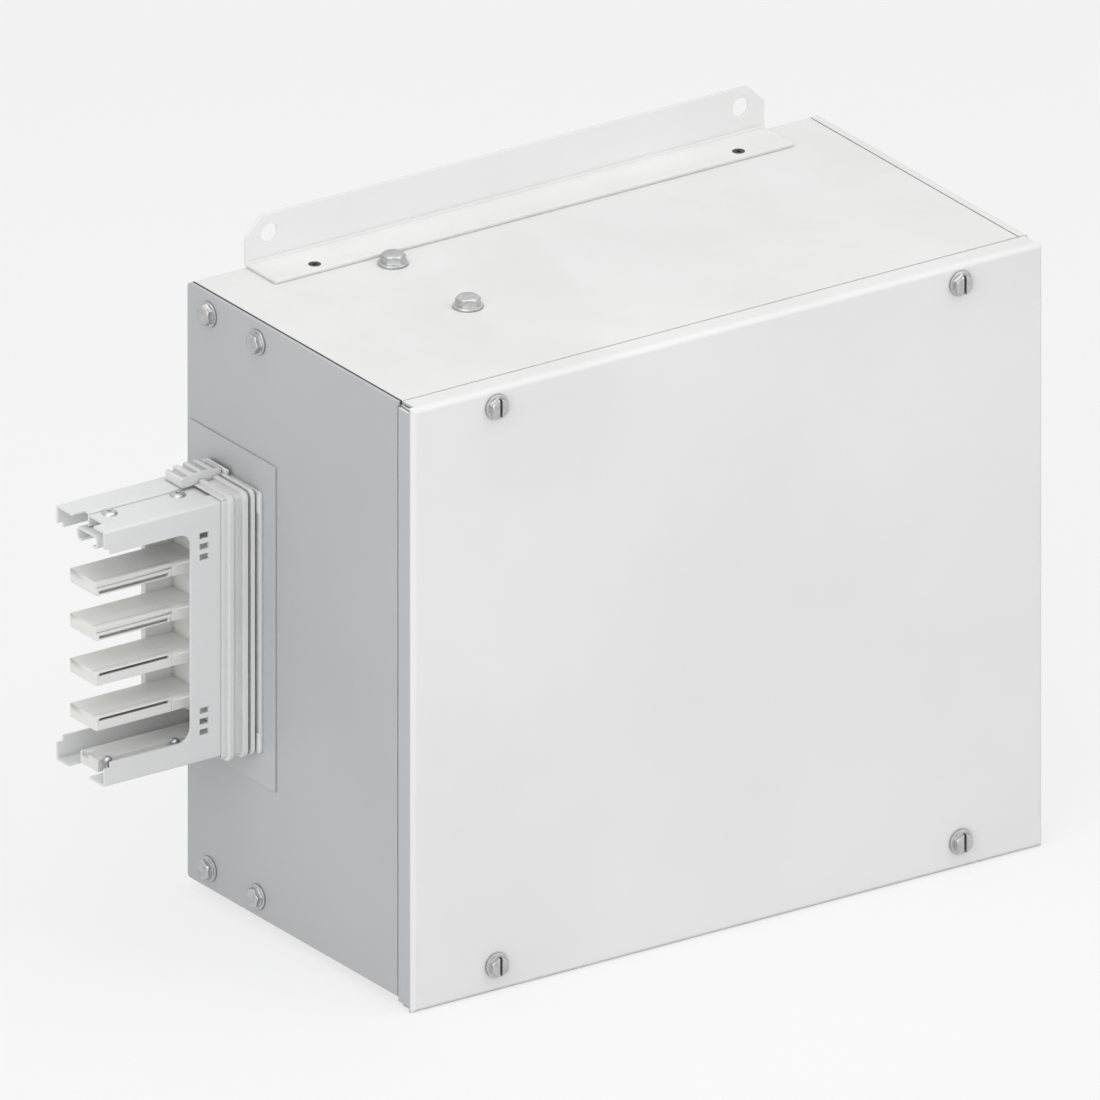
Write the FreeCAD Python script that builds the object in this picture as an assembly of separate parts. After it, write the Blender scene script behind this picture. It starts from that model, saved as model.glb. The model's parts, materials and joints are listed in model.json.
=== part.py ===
import FreeCAD, Part
import math
import os

# Busway tap off box: a sheet steel box that hangs by a bracket on a wall or frame, with the end
# of a small busway run standing out of its left end plate.
# Millimetres. X runs right, Z runs up, and f counts forward from the wall plane, so Y is minus f.
# Shapes are drawn from the box's rear bottom left corner. write() then moves each one so that the
# origin is midway between the two bracket holes, in the wall plane.

os.makedirs("parts", exist_ok=True)
V = FreeCAD.Vector

# Box
box_width = 402.0
box_height = 340.0
wall_depth = 196.0          # how far forward the walls and end plates reach
wall = 2.0                  # sheet of walls, end plates and bracket
wall_bend = 2.5             # outer radius of the bends at the back
touch = 0.3                 # clearance between neighbouring pieces that must not rub

# Front cover
cover_sheet = 1.5
cover_reach = 14.5          # from the walls' front edge to the front face of the cover
cover_seam = 1.0            # open seam between the cover's edge and the walls
cover_drop = 5.5            # how far the cover hangs below the box
cover_bend = 3.5
cover_notch = 3.0           # relief cut at each corner of the pan
cover_screw_side = 53.2     # screw centre from each side
cover_screw_edge = 10.4     # screw centre from the top and bottom of the box

# Front frame that the cover closes on
frame_sheet = 1.5
frame_overlap = 16.0        # how far the frame reaches back inside the walls
frame_reach = 8.0           # how far it stands out in front of them
frame_lip = 24.0            # width of the inward lip
frame_bend = 2.0
cover_gasket_width = 9.0
cover_gasket_round = 1.5
cover_gasket_edge = 0.6     # strip of lip left bare inside the gasket

# End plates
left_gasket = 1.2
right_gasket = 4.8
right_pan_depth = 6.0       # how far the right plate's bent edges reach over the box
right_pan_bend = 2.5
end_flange = 24.0           # height of the shell's inner end flanges
end_screw_edge = 11.5       # end plate screws from the top and bottom
end_gasket_band = 20.0
end_gasket_back = 9.0

# Bracket
bracket_end = 15.0          # from a hole's centre to the bracket's end
bracket_leg = 29.7
bracket_rise = 27.4
bracket_hole_spacing = 300.0
bracket_hole_r = 5.25
bracket_hole_drop = 11.0    # hole centre below the bracket's top edge
bracket_cut = 10.4
bracket_bend = 3.0
bracket_rivet_inset = 15.0  # rivet centres, inwards from the hole centres
bracket_rivet_depth = 22.0
bracket_rivet_r = 2.1
bracket_rivet_head_r = 3.4
rivet_tail = 1.5            # thickness of a closed rivet's tail

# Busway stub
stub_length = 97.7          # how far it stands out of the left plate
stub_depth = 45.5
stub_height = 146.0
stub_back = 20.5            # rear face of the stub from the wall plane
stub_sheet = 1.5
stub_inside = 20.0          # how far the casing runs on inside the box
stub_gap = 0.5              # clearance in the holes that the stub passes through
stub_arm = 13.5             # height of the arms over and under the side opening
stub_mouth = 55.0           # length of the side opening from the free end
stub_mouth_r = 7.4
stub_tab = 3.8              # short step at the free end of each arm
stub_tab_cut = 3.2
rear_flange = 18.7
rear_lip = 8.4
rear_notch = 8.4
rear_notch_keep = 14.7      # depth of flange left beside the notch at the top
rear_notch_keep_low = 11.5  # the same at the bottom
front_flange = 10.5
front_foot = 14.3
strip_drop = 1.2            # how far the strip between the halves is set down
window_width = 5.9
window_height = 3.4
window_pitch = 6.1
window_from_end = 60.5
window_from_top = 16.9
wing = 8.0                  # inner flanges that hold the stub to the left plate
wing_end_gap = 12.0

# Rail and block inside the stub
rail_start = 5.0
rail_back = 11.9
rail_width = 19.6
rail_drop = 8.8
rail_leg = 7.7
rail_bend = 3.0
rail_hook = 3.0
block_start = 6.6
block_back = 13.0
block_width = 16.5
block_top = 8.5
block_cup_r = 3.2           # shallow cup in the top of the block, open at its free end
block_cup_depth = 2.4
block_cup_inset = 1.6
block_cup_back = 4.5
ball_r = 2.5
ball_stem_r = 1.2
ball_height = 8.9
ball_depth = 32.7
snap_places = (10.5, 53.5)  # from the free end, for the balls
rivet_places = (18.2, 61.7)
rivet_depth = 23.3
rivet_head_r = 4.3
rivet_head_h = 1.6
rivet_r = 2.0
rivet_tail_r = 3.0
pip_place = 13.1            # pressed pip on the front top flange, from the free end
pip_inset = 4.9             # from the stub's front face
pip_r = 3.1
pip_rise = 0.6

# Fingers and bars
finger_count = 4
finger_pitch = 25.7
finger_width = 24.7
finger_thick = 7.9
finger_start = 1.8
finger_end = 49.7
finger_back = 10.4
finger_top_drop = 33.0
finger_round = 2.4          # front top edge of the shelves that carry the fingers
finger_edge = 0.8
finger_tip = 2.0
slot_height = 1.7           # slot along the front that shows the contact
slot_wall = 0.9             # wall left between the slot and the nearer face
low_slots = 2               # the upper fingers have it low, and the others high
score = 0.6                 # width and depth of the fine scored lines
score_inset = 3.5           # line on top, from the front
score_drop = 2.8            # line in front, from the top
bar_width = 20.0
bar_thick = 3.0
bar_fit = 0.2
bar_end = 118.0
bar_hole_x = 75.0
carrier_plate = 4.0
carrier_full = 67.7         # from the free end to the full section of the carrier
carrier_end = 92.0
carrier_apron = 84.0        # from the free end to the apron that closes the casing
carrier_margin = 7.0

# Collar
collar_start = 23.7
collar_ribs = ((20.7, 18.0), (11.8, 9.0), (7.0, 4.6))
collar_neck = 1.0
collar_rise = 3.0
collar_flange_rise = 1.75
collar_front_rise = 4.0
collar_side_rise = 2.0
collar_round = 4.5
collar_neck_round = 1.5
collar_flange_round = 2.0
collar_flange_start = 2.8
collar_flange_front = 6.0
collar_pad_rise = 0.7       # small pads on the flange at its front corners
collar_pad_front = (2.4, 5.4)
collar_pad_height = 10.0
surround_sheet = 1.0
surround_width = 80.0
surround_height = 186.0
surround_back = 3.2
stop_bar_x = (5.5, 3.0)
stop_bar_back = 3.0
stop_bar_length = 20.0
stop_bar_rise = 5.6
stop_bar_round = 1.0

# Thumb latch
latch_x = (31.4, 6.4)
latch_back = 4.7
latch_width = 15.6
latch_rise = 7.2            # at the crown of its arch
latch_arch = 59.0
latch_crown = 13.8          # from its free end to the crown
latch_travel = 6.0
latch_neck = 5.0
latch_foot = 8.0
latch_groove = 1.9          # depth of the grooves across its top
latch_groove_count = 4
latch_groove_width = 3.3
latch_wall = 0.9            # front wall that closes the grooves
latch_round = 1.2
latch_foot_thick = 1.5

# Screw sizes: thread radius, across flats, head height, flange radius, flange thickness
small_screw = (3.0, 10.0, 4.6, 7.0, 1.4)
large_screw = (4.0, 11.8, 6.0, 8.2, 1.7)
terminal_screw = (4.0, 13.0, 5.3, 0.0, 0.0)
panel_screw = (2.5, 8.0, 3.2, 5.0, 0.9)
hole_gap = 0.3
thread_gap = 0.05
head_chamfer = 0.7
slot_width = 1.6
slot_depth = 1.9
screw_end = 3.0             # how far a short screw passes its thread
nut_height = 5.0
end_screw_length = 14.0
top_bolt_x = 103.0
top_bolt_depths = (41.0, 111.0)
top_bolt_length = 16.0
cover_screw_length = 20.0
rivet_nut_r = 4.55
rivet_nut_length = 12.0
rivet_nut_rim = 1.4
rivet_nut_flange = 0.8
retainer_r = 5.2
retainer_thick = 1.3

# Terminals
hanger_half = 18.0
hanger_back = 28.0
hanger_front = 124.0
hanger_bottom = 110.0
comb_thick = 16.0
comb_width = 30.5
comb_margin = 13.0
comb_floor = 2.0
comb_screw_inset = 6.0
comb_screw_length = 9.6
comb_screw_hole = 11.0
washer_thick = 1.6
washer_r = 8.0
terminal_nut_height = 6.5
bolt_end = 2.0              # how far a terminal bolt passes its nut
entry_comb_thick = 15.0
shield_sheet = 2.0
shield_start = 22.0
shield_bottom = 100.0
shield_top = 245.0
shield_gap = 4.0
shield_tab = 15.0           # how far the guard's side reaches behind its screws
shield_screw_heights = (130.0, 215.0)
shield_screw_depth = 105.0

# Earth bar
earth_bar_x = (205.0, 345.0)
earth_bar_z = (36.0, 56.0)
earth_bar_thick = 4.0
earth_standoff = 10.0
earth_stud_r = 3.0
earth_shoulder_r = 6.0
earth_thread = 16.0
earth_screw_count = 5
earth_stud_inset = 12.0

# Gland plate in the right end
gland_opening = (90.0, 140.0)
gland_rim = 12.0
gland_centre = (98.0, 170.0)
gland_gasket_thick = 1.5
gland_screw_inset = 6.0

# Places worked out from the sizes above
cover_front = wall_depth + cover_reach
frame_start = wall_depth - frame_overlap
frame_front = wall_depth + frame_reach
left_wall_x = wall + left_gasket
right_wall_x = box_width - wall - right_gasket
stub_end = -stub_length
stub_front = stub_back + stub_depth
stub_bottom = (box_height - stub_height) / 2
stub_top = stub_bottom + stub_height
stub_middle = stub_back + stub_depth / 2
end_screw_depths = (stub_back, stub_front)
end_screw_heights = (end_screw_edge, box_height - end_screw_edge)
cover_back = wall_depth + cover_seam
cover_screw_xs = (cover_screw_side, box_width - cover_screw_side)
cover_screw_zs = (cover_screw_edge, box_height - cover_screw_edge)
bracket_length = bracket_hole_spacing + 2 * bracket_end
bracket_left = (box_width - bracket_length) / 2
bracket_top = box_height + bracket_rise
hole_height = bracket_top - bracket_hole_drop
origin_x = box_width / 2
bar_back = stub_middle - bar_width / 2
surround_bottom = (box_height - surround_height) / 2
hanger_leg_x = top_bolt_x + hanger_half


def write(name, shape):
    """Move a finished piece to the bracket holes' frame and save it."""
    moved = shape.copy()
    moved.translate(V(-origin_x, 0, -hole_height))
    moved.exportStep("parts/" + name + ".step")


def block(x0, x1, f0, f1, z0, z1):
    """A box between two X values, two depths from the wall and two heights."""
    return Part.makeBox(x1 - x0, f1 - f0, z1 - z0, V(x0, -f1, z0))


def toward(direction):
    """The unit vector of a plain word."""
    names = {"left": V(-1, 0, 0), "right": V(1, 0, 0), "front": V(0, -1, 0),
             "back": V(0, 1, 0), "up": V(0, 0, 1), "down": V(0, 0, -1)}
    return names[direction]


def rod(x, f, z, radius, length, direction):
    """A round rod that starts at a point and runs one way."""
    return Part.makeCylinder(radius, length, V(x, -f, z), toward(direction))


def place(shape, x, f, z, direction):
    """Turn a piece that stands up so that it points another way, and move it to a point."""
    moved = shape.copy()
    moved.Placement = FreeCAD.Placement(V(x, -f, z), FreeCAD.Rotation(V(0, 0, 1), toward(direction)))
    return moved


def edges_where(shape, test):
    """The edges whose two ends both pass a test on (x, f, z)."""
    found = []
    for edge in shape.Edges:
        ends = [(v.Point.x, -v.Point.y, v.Point.z) for v in edge.Vertexes]
        if len(ends) == 2 and all(test(*end) for end in ends):
            found.append(edge)
    return found


def near(a, b):
    return abs(a - b) < 0.001


def soften(shape, radius, test):
    """Round the edges that pass a test."""
    return shape.makeFillet(radius, edges_where(shape, test))


def hexagon(across_flats, height):
    """A hexagonal prism that stands on the origin."""
    corner = across_flats / math.sqrt(3)
    points = [V(corner * math.cos(math.radians(60 * i)), corner * math.sin(math.radians(60 * i)), 0)
              for i in range(7)]
    return Part.Face(Part.makePolygon(points)).extrude(V(0, 0, height))


def screw(size, length, slotted=False):
    """A hexagon screw standing on its bearing face: head up, plain shank down."""
    radius, flats, head, flange_r, flange = size
    corner = flats / math.sqrt(3)
    crown = Part.makeCylinder(corner, head)
    top_edge = [edge for edge in crown.Edges if len(edge.Vertexes) == 1 and edge.Vertexes[0].Z > head / 2]
    crown = crown.makeChamfer(head_chamfer, top_edge)
    body = hexagon(flats, head).common(crown)
    if flange > 0:
        body = body.fuse(Part.makeCylinder(flange_r, flange))
    if slotted:
        body = body.cut(Part.makeBox(slot_width, 2 * corner, slot_depth,
                                     V(-slot_width / 2, -corner, head - slot_depth)))
    return body.fuse(Part.makeCylinder(radius, length, V(0, 0, -length))).removeSplitter()


def nut(radius, flats, height):
    """A hexagon nut standing on the origin, bored to clear its screw."""
    return hexagon(flats, height).cut(Part.makeCylinder(radius + thread_gap, height))


def end_gasket(x0, x1, f0, f1, z0, z1):
    """A U-shaped seal that is open to the front, with the end plate screws' holes."""
    band = block(x0, x1, f0, f1, z0, z1)
    band = band.cut(block(x0, x1, f0 + end_gasket_back, f1, z0 + end_gasket_band, z1 - end_gasket_band))
    for hole in end_screw_holes(x0, x1):
        band = band.cut(hole)
    return band


def along_x(shape, radius, places):
    """Round the edges along X that pass through the given (f, z) places."""
    found = []
    for at_f, at_z in places:
        found += edges_where(shape, lambda x, f, z: near(f, at_f) and near(z, at_z))
    return shape.makeFillet(radius, found)


def along_f(shape, radius, places):
    """Round the edges from front to back that pass through the given (x, z) places."""
    found = []
    for at_x, at_z in places:
        found += edges_where(shape, lambda x, f, z: near(x, at_x) and near(z, at_z))
    return shape.makeFillet(radius, found)


def rear_corners(shape, radius):
    """Round the two corners of a piece at the back of the box, top and bottom."""
    box = shape.BoundBox
    return along_x(shape, radius, ((-box.YMax, box.ZMin), (-box.YMax, box.ZMax)))


def make_rear_shell():
    """Top, back and bottom from one bent sheet, with an inner flange at each end."""
    back_corners = ((0, 0), (0, box_height))
    shell = along_x(block(left_wall_x, right_wall_x, 0, wall_depth, 0, box_height), wall_bend, back_corners)
    hollow = block(left_wall_x, right_wall_x, wall, wall_depth, wall, box_height - wall)
    hollow = along_x(hollow, wall_bend - wall, ((wall, wall), (wall, box_height - wall)))
    shell = shell.cut(hollow)
    flange_front = frame_start - wall
    for x0 in (left_wall_x, right_wall_x - wall):
        for z0 in (wall / 2, box_height - end_flange):
            flange = block(x0, x0 + wall, 2 * wall_bend, flange_front, z0, z0 + end_flange - wall / 2)
            shell = shell.fuse(flange)
    for x in (left_wall_x, right_wall_x):
        for f in end_screw_depths:
            for z in end_screw_heights:
                shell = shell.cut(rod(x - wall, f, z, small_screw[0] + hole_gap, 2 * wall, "right"))
    for f in top_bolt_depths:
        shell = shell.cut(rod(top_bolt_x, f, box_height - wall, large_screw[0] + hole_gap, wall, "up"))
    for x in bracket_rivet_xs():
        shell = shell.cut(rod(x, bracket_rivet_depth, box_height - wall, bracket_rivet_r, wall, "up"))
    return shell.removeSplitter()


def bracket_rivet_xs():
    half = bracket_hole_spacing / 2 - bracket_rivet_inset
    return (box_width / 2 - half, box_width / 2 + half)


def bracket_hole_xs():
    half = bracket_hole_spacing / 2
    return (box_width / 2 - half, box_width / 2 + half)


def stub_hole(x0, x1, gap):
    """The space that the stub takes up where it passes through a sheet."""
    return block(x0, x1, stub_back - gap, stub_front + gap, stub_bottom - gap, stub_top + gap)


def end_screw_holes(x0, x1):
    """The four end plate screw holes as rods to cut away."""
    rods = []
    for f in end_screw_depths:
        for z in end_screw_heights:
            rods.append(rod(x0, f, z, small_screw[0] + hole_gap, x1 - x0, "right"))
    return rods


def make_left_end_plate():
    plate = rear_corners(block(0, wall, 0, wall_depth, 0, box_height), wall_bend)
    plate = plate.cut(stub_hole(0, wall, stub_gap))
    for hole in end_screw_holes(0, wall):
        plate = plate.cut(hole)
    return plate


def make_left_gasket():
    band = rear_corners(end_gasket(wall, left_wall_x, 0, wall_depth, 0, box_height), wall_bend)
    return band.cut(block(wall, left_wall_x, frame_start, wall_depth, wall, box_height - wall))


def make_right_end_plate():
    """A shallow pan: its bent edges lie flush with the top, back and bottom of the box."""
    start = box_width - right_pan_depth
    pan = along_x(block(start, box_width, 0, wall_depth, 0, box_height), wall_bend,
                  ((0, 0), (0, box_height)))
    front_edge = edges_where(pan, lambda x, f, z: near(x, box_width) and near(f, wall_depth))[0]
    rim = [edge for edge in edges_where(pan, lambda x, f, z: near(x, box_width))
           if not edge.isSame(front_edge)]
    pan = pan.makeFillet(right_pan_bend, rim)
    inside = block(start, box_width - wall, wall, wall_depth, wall, box_height - wall)
    pan = pan.cut(along_x(inside, wall_bend - wall, ((wall, wall), (wall, box_height - wall))))
    half_f = gland_opening[0] / 2
    half_z = gland_opening[1] / 2
    pan = pan.cut(block(box_width - wall, box_width, gland_centre[0] - half_f, gland_centre[0] + half_f,
                        gland_centre[1] - half_z, gland_centre[1] + half_z))
    for hole in end_screw_holes(box_width - wall, box_width):
        pan = pan.cut(hole)
    for f, z in gland_screw_places():
        pan = pan.cut(rod(box_width - wall, f, z, panel_screw[0] + thread_gap, wall, "right"))
    return pan


def make_right_gasket():
    band = end_gasket(right_wall_x, box_width - wall, wall, frame_start, wall, box_height - wall)
    return rear_corners(band, wall_bend - wall)


def make_front_frame():
    """A sleeve inside the walls that turns in to a lip, with holes for four rivet nuts."""
    frame = block(wall, box_width - wall, frame_start, frame_front, wall, box_height - wall)
    frame = soften(frame, frame_bend, lambda x, f, z: near(f, frame_front))
    side = wall + frame_sheet
    frame = frame.cut(block(side, box_width - side, frame_start, frame_front - frame_sheet,
                            side, box_height - side))
    inner = wall + frame_lip
    frame = frame.cut(block(inner, box_width - inner, frame_start, frame_front, inner, box_height - inner))
    for x in cover_screw_xs:
        for z in cover_screw_zs:
            frame = frame.cut(rod(x, frame_front - frame_sheet, z, rivet_nut_r + thread_gap, frame_sheet,
                                  "front"))
    return frame


def make_cover_gasket():
    outer = wall + frame_lip - cover_gasket_edge - cover_gasket_width
    inner = outer + cover_gasket_width
    top = cover_front - cover_sheet - touch
    ring = block(outer, box_width - outer, frame_front, top, outer, box_height - outer)
    ring = ring.cut(block(inner, box_width - inner, frame_front, top, inner, box_height - inner))
    return soften(ring, cover_gasket_round, lambda x, f, z: near(f, top))


def make_front_cover():
    """A pan with four bent edges and a relief cut at each corner."""
    pan = block(0, box_width, cover_back, cover_front, -cover_drop, box_height)
    pan = soften(pan, cover_bend, lambda x, f, z: near(f, cover_front))
    inside = block(cover_sheet, box_width - cover_sheet, cover_back, cover_front - cover_sheet,
                   cover_sheet - cover_drop, box_height - cover_sheet)
    inner_front = cover_front - cover_sheet
    inside = soften(inside, cover_bend - cover_sheet, lambda x, f, z: near(f, inner_front))
    pan = pan.cut(inside)
    for x0 in (0, box_width - cover_notch):
        for z0 in (-cover_drop, box_height - cover_notch):
            pan = pan.cut(block(x0, x0 + cover_notch, cover_back, cover_front - cover_bend,
                                z0, z0 + cover_notch))
    for x in cover_screw_xs:
        for z in cover_screw_zs:
            pan = pan.cut(rod(x, inner_front, z, small_screw[0] + hole_gap, cover_sheet, "front"))
    return pan


def rivet_nut():
    """A rivet nut: thin flange on the lip, body through it."""
    below = V(0, 0, -rivet_nut_length)
    body = Part.makeCylinder(rivet_nut_r, rivet_nut_length, below)
    body = body.fuse(Part.makeCylinder(rivet_nut_r + rivet_nut_rim, rivet_nut_flange))
    bore = Part.makeCylinder(small_screw[0] + thread_gap, rivet_nut_length + rivet_nut_flange, below)
    return body.cut(bore)


def make_bracket():
    """An angle that lies on the top of the box and rises in the wall plane."""
    x1 = bracket_left + bracket_length
    leg = block(bracket_left, x1, 0, bracket_leg, box_height, box_height + wall)
    upright = block(bracket_left, x1, 0, wall, box_height, bracket_top)
    angle = leg.fuse(upright).removeSplitter()
    angle = along_x(angle, bracket_bend, ((0, box_height),))
    angle = along_x(angle, bracket_bend - wall, ((wall, box_height + wall),))
    for x, side in ((bracket_left, 1), (x1, -1)):
        points = [V(x, 0, bracket_top), V(x + side * bracket_cut, 0, bracket_top),
                  V(x, 0, bracket_top - bracket_cut), V(x, 0, bracket_top)]
        angle = angle.cut(Part.Face(Part.makePolygon(points)).extrude(V(0, -wall, 0)))
    for x in bracket_hole_xs():
        angle = angle.cut(rod(x, 0, hole_height, bracket_hole_r, wall, "front"))
    for x in bracket_rivet_xs():
        angle = angle.cut(rivet_sink(x))
    return angle


def rivet_sink(x):
    """The cone of a countersunk rivet in the bracket."""
    place_on_top = V(x, -bracket_rivet_depth, box_height)
    return Part.makeCone(bracket_rivet_r, bracket_rivet_head_r, wall, place_on_top)


def bracket_rivet(x):
    """A countersunk rivet through the bracket and the top sheet."""
    shank = rod(x, bracket_rivet_depth, box_height - wall, bracket_rivet_r, wall, "up")
    tail = rod(x, bracket_rivet_depth, box_height - wall - rivet_tail, bracket_rivet_head_r, rivet_tail, "up")
    return rivet_sink(x).fuse(shank).fuse(tail).removeSplitter()


def mouth_cut(f0, f1):
    """The side opening of one half of the stub, with round inner corners and a step at the end."""
    low = stub_bottom + stub_arm
    high = stub_top - stub_arm
    cut = block(stub_end - stub_tab, stub_end + stub_mouth, f0, f1, low, high)
    corner_x = stub_end + stub_mouth
    cut = along_f(cut, stub_mouth_r, ((corner_x, low), (corner_x, high)))
    for z0 in (low - stub_tab_cut, high):
        cut = cut.fuse(block(stub_end - stub_tab, stub_end + stub_tab, f0, f1, z0, z0 + stub_tab_cut))
    return cut


def make_stub_rear_shell():
    """Rear half of the casing: a back wall with flanges that turn in at their front edges."""
    edge = stub_back + rear_flange
    shell = block(stub_end, stub_inside, stub_back, edge, stub_bottom, stub_top)
    shell = along_x(shell, stub_sheet, ((stub_back, stub_bottom), (stub_back, stub_top), (edge, stub_top)))
    shell = shell.cut(block(stub_end, stub_inside, stub_back + stub_sheet, edge - stub_sheet,
                            stub_bottom + stub_sheet, stub_top - stub_sheet))
    shell = shell.cut(block(stub_end, stub_inside, edge - stub_sheet, edge,
                            stub_bottom + stub_sheet, stub_top - rear_lip))
    shell = shell.cut(mouth_cut(stub_back, stub_back + stub_sheet))
    for z0, keep in ((stub_bottom, rear_notch_keep_low), (stub_top - rear_lip, rear_notch_keep)):
        shell = shell.cut(block(stub_end, stub_end + rear_notch, stub_back + keep, edge, z0, z0 + rear_lip))
    wing_plate = block(wall, wall + stub_sheet, stub_back - wing, stub_back + stub_sheet,
                       stub_bottom + wing_end_gap, stub_top - wing_end_gap)
    x0 = -latch_x[0] + latch_foot_inset() - touch - latch_travel
    x1 = -latch_x[0] + latch_foot_inset() + latch_neck + touch
    middle = stub_back + latch_back + latch_width / 2
    slot = block(x0, x1, middle - latch_neck / 2 - touch, middle + latch_neck / 2 + touch,
                 stub_top - stub_sheet, stub_top)
    return shell.fuse(wing_plate).cut(slot).removeSplitter()


def latch_foot_inset():
    """Distance from the latch's free end to the neck below it."""
    return (latch_x[0] - latch_x[1] - latch_neck) / 2


def make_stub_front_shell():
    """Front half of the casing: front wall, top flange with a lowered strip, bottom flange, windows."""
    strip_back = stub_back + rear_flange + touch
    wall_back = stub_front - stub_sheet
    start = stub_front - front_flange
    shell = block(stub_end, stub_inside, start, stub_front, stub_top - stub_sheet, stub_top)
    shell = shell.fuse(block(stub_end, stub_inside, wall_back, stub_front, stub_bottom, stub_top))
    shell = shell.fuse(block(stub_end, stub_inside, stub_front - front_foot, stub_front,
                             stub_bottom, stub_bottom + stub_sheet)).removeSplitter()
    shell = along_x(shell, stub_sheet, ((stub_front, stub_bottom), (stub_front, stub_top)))
    strip_x = stub_end + rear_notch
    low = stub_top - strip_drop - stub_sheet
    shell = shell.fuse(block(strip_x, stub_inside, strip_back, stub_front - front_flange + stub_sheet,
                             low, low + stub_sheet))
    shell = shell.fuse(block(strip_x, stub_inside, stub_front - front_flange,
                             stub_front - front_flange + stub_sheet, low, stub_top))
    shell = shell.fuse(block(wall, wall + stub_sheet, wall_back, stub_front + wing,
                             stub_bottom + wing_end_gap, stub_top - wing_end_gap))
    shell = shell.cut(mouth_cut(wall_back, stub_front))
    for i in range(3):
        drop = window_from_top + i * window_pitch
        for z in (stub_top - drop, stub_bottom + drop):
            x0 = stub_end + window_from_end
            shell = shell.cut(block(x0, x0 + window_width, wall_back, stub_front,
                                    z - window_height / 2, z + window_height / 2))
    for x in rivet_places:
        shell = shell.cut(rod(stub_end + x, stub_back + rivet_depth, low, rivet_r, stub_sheet, "up"))
    pip = dome(pip_r, pip_rise)
    pip.translate(V(stub_end + pip_place, pip_inset - stub_front, stub_top))
    return shell.fuse(pip).removeSplitter()


def make_top_rail():
    """An upside-down channel with hooked legs under the top of the stub."""
    x0 = stub_end + rail_start
    back = stub_back + rail_back
    front = back + rail_width
    top = stub_top - rail_drop
    low = top - rail_leg
    rail = block(x0, stub_inside, back, front, low, top)
    rail = along_x(rail, rail_bend, [(f, z) for f in (back, front) for z in (low, top)])
    hollow = block(x0, stub_inside, back + stub_sheet, front - stub_sheet, low + stub_sheet, top - stub_sheet)
    sheet = stub_sheet
    inner = [(f, z) for f in (back + sheet, front - sheet) for z in (low + sheet, top - sheet)]
    rail = rail.cut(along_x(hollow, rail_bend - stub_sheet, inner))
    rail = rail.cut(block(x0, stub_inside, back + stub_sheet + rail_hook, front - stub_sheet - rail_hook,
                          low, low + stub_sheet))
    for x in rivet_places:
        hole = rod(stub_end + x, stub_back + rivet_depth, top - stub_sheet, rivet_r, stub_sheet, "up")
        rail = rail.cut(hole)
    return rail


def dome(radius, rise):
    """A shallow round dome standing on the origin."""
    ball_radius = (radius ** 2 + rise ** 2) / (2 * rise)
    ball = Part.makeSphere(ball_radius, V(0, 0, rise - ball_radius))
    return ball.common(Part.makeCylinder(radius, rise))


def stub_rivet(x):
    """A round-headed rivet that holds the rail under the strip."""
    top = stub_top - strip_drop
    bottom = stub_top - rail_drop - stub_sheet
    head = dome(rivet_head_r, rivet_head_h)
    head.translate(V(x, -(stub_back + rivet_depth), top))
    shank = rod(x, stub_back + rivet_depth, bottom, rivet_r, top - bottom, "up")
    tail = rod(x, stub_back + rivet_depth, bottom - rivet_tail, rivet_tail_r, rivet_tail, "up")
    return head.fuse(shank).fuse(tail).removeSplitter()


def make_bottom_block():
    """The moulded block on the floor of the stub, with a round cup near its free end."""
    x0 = stub_end + block_start
    back = stub_back + block_back
    floor = stub_bottom + stub_sheet
    top = stub_bottom + block_top
    body = block(x0, stub_end + carrier_apron - touch, back, back + block_width, floor, top)
    return body.cut(rod(x0 + block_cup_inset, back + block_cup_back, top - block_cup_depth, block_cup_r,
                        block_cup_depth, "up"))


def locating_ball(x):
    """A ball on a short stem that stands on the front bottom flange."""
    f = stub_back + ball_depth
    floor = stub_bottom + stub_sheet
    ball = Part.makeSphere(ball_r, V(x, -f, stub_bottom + ball_height))
    return ball.fuse(rod(x, f, floor, ball_stem_r, ball_height - stub_sheet, "up")).removeSplitter()


def finger_heights():
    """Middle height of each finger, from the top one down."""
    first = stub_top - finger_top_drop - finger_thick / 2
    return [first - i * finger_pitch for i in range(finger_count)]


def bar_space(x0, x1, z):
    """The space of one bar with a small clearance."""
    half = bar_thick / 2 + bar_fit
    return block(x0, x1, bar_back - bar_fit, bar_back + bar_width + bar_fit, z - half, z + half)


def make_finger(index):
    """One insulated finger, with a slot in front that shows its bar and fine lines along its edges."""
    z = finger_heights()[index]
    back = stub_back + finger_back
    front = back + finger_width
    x0 = stub_end + finger_start
    x1 = stub_end + finger_end
    top = z + finger_thick / 2
    body = block(x0, x1, back, front, z - finger_thick / 2, top)
    body = along_x(body, finger_edge, ((front, top),))
    body = body.cut(bar_space(x0 + finger_tip, x1, z))
    slot = top - slot_wall - slot_height
    if index < low_slots:
        slot = top - finger_thick + slot_wall
        body = body.cut(block(x0, x1, front - score, front, top - score_drop - score, top - score_drop))
    body = body.cut(block(x0 + finger_tip, x1 - finger_tip, bar_back + bar_width, front,
                          slot, slot + slot_height))
    return body.cut(block(x0, x1, front - score_inset, front - score_inset + score, top - score, top))


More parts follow.
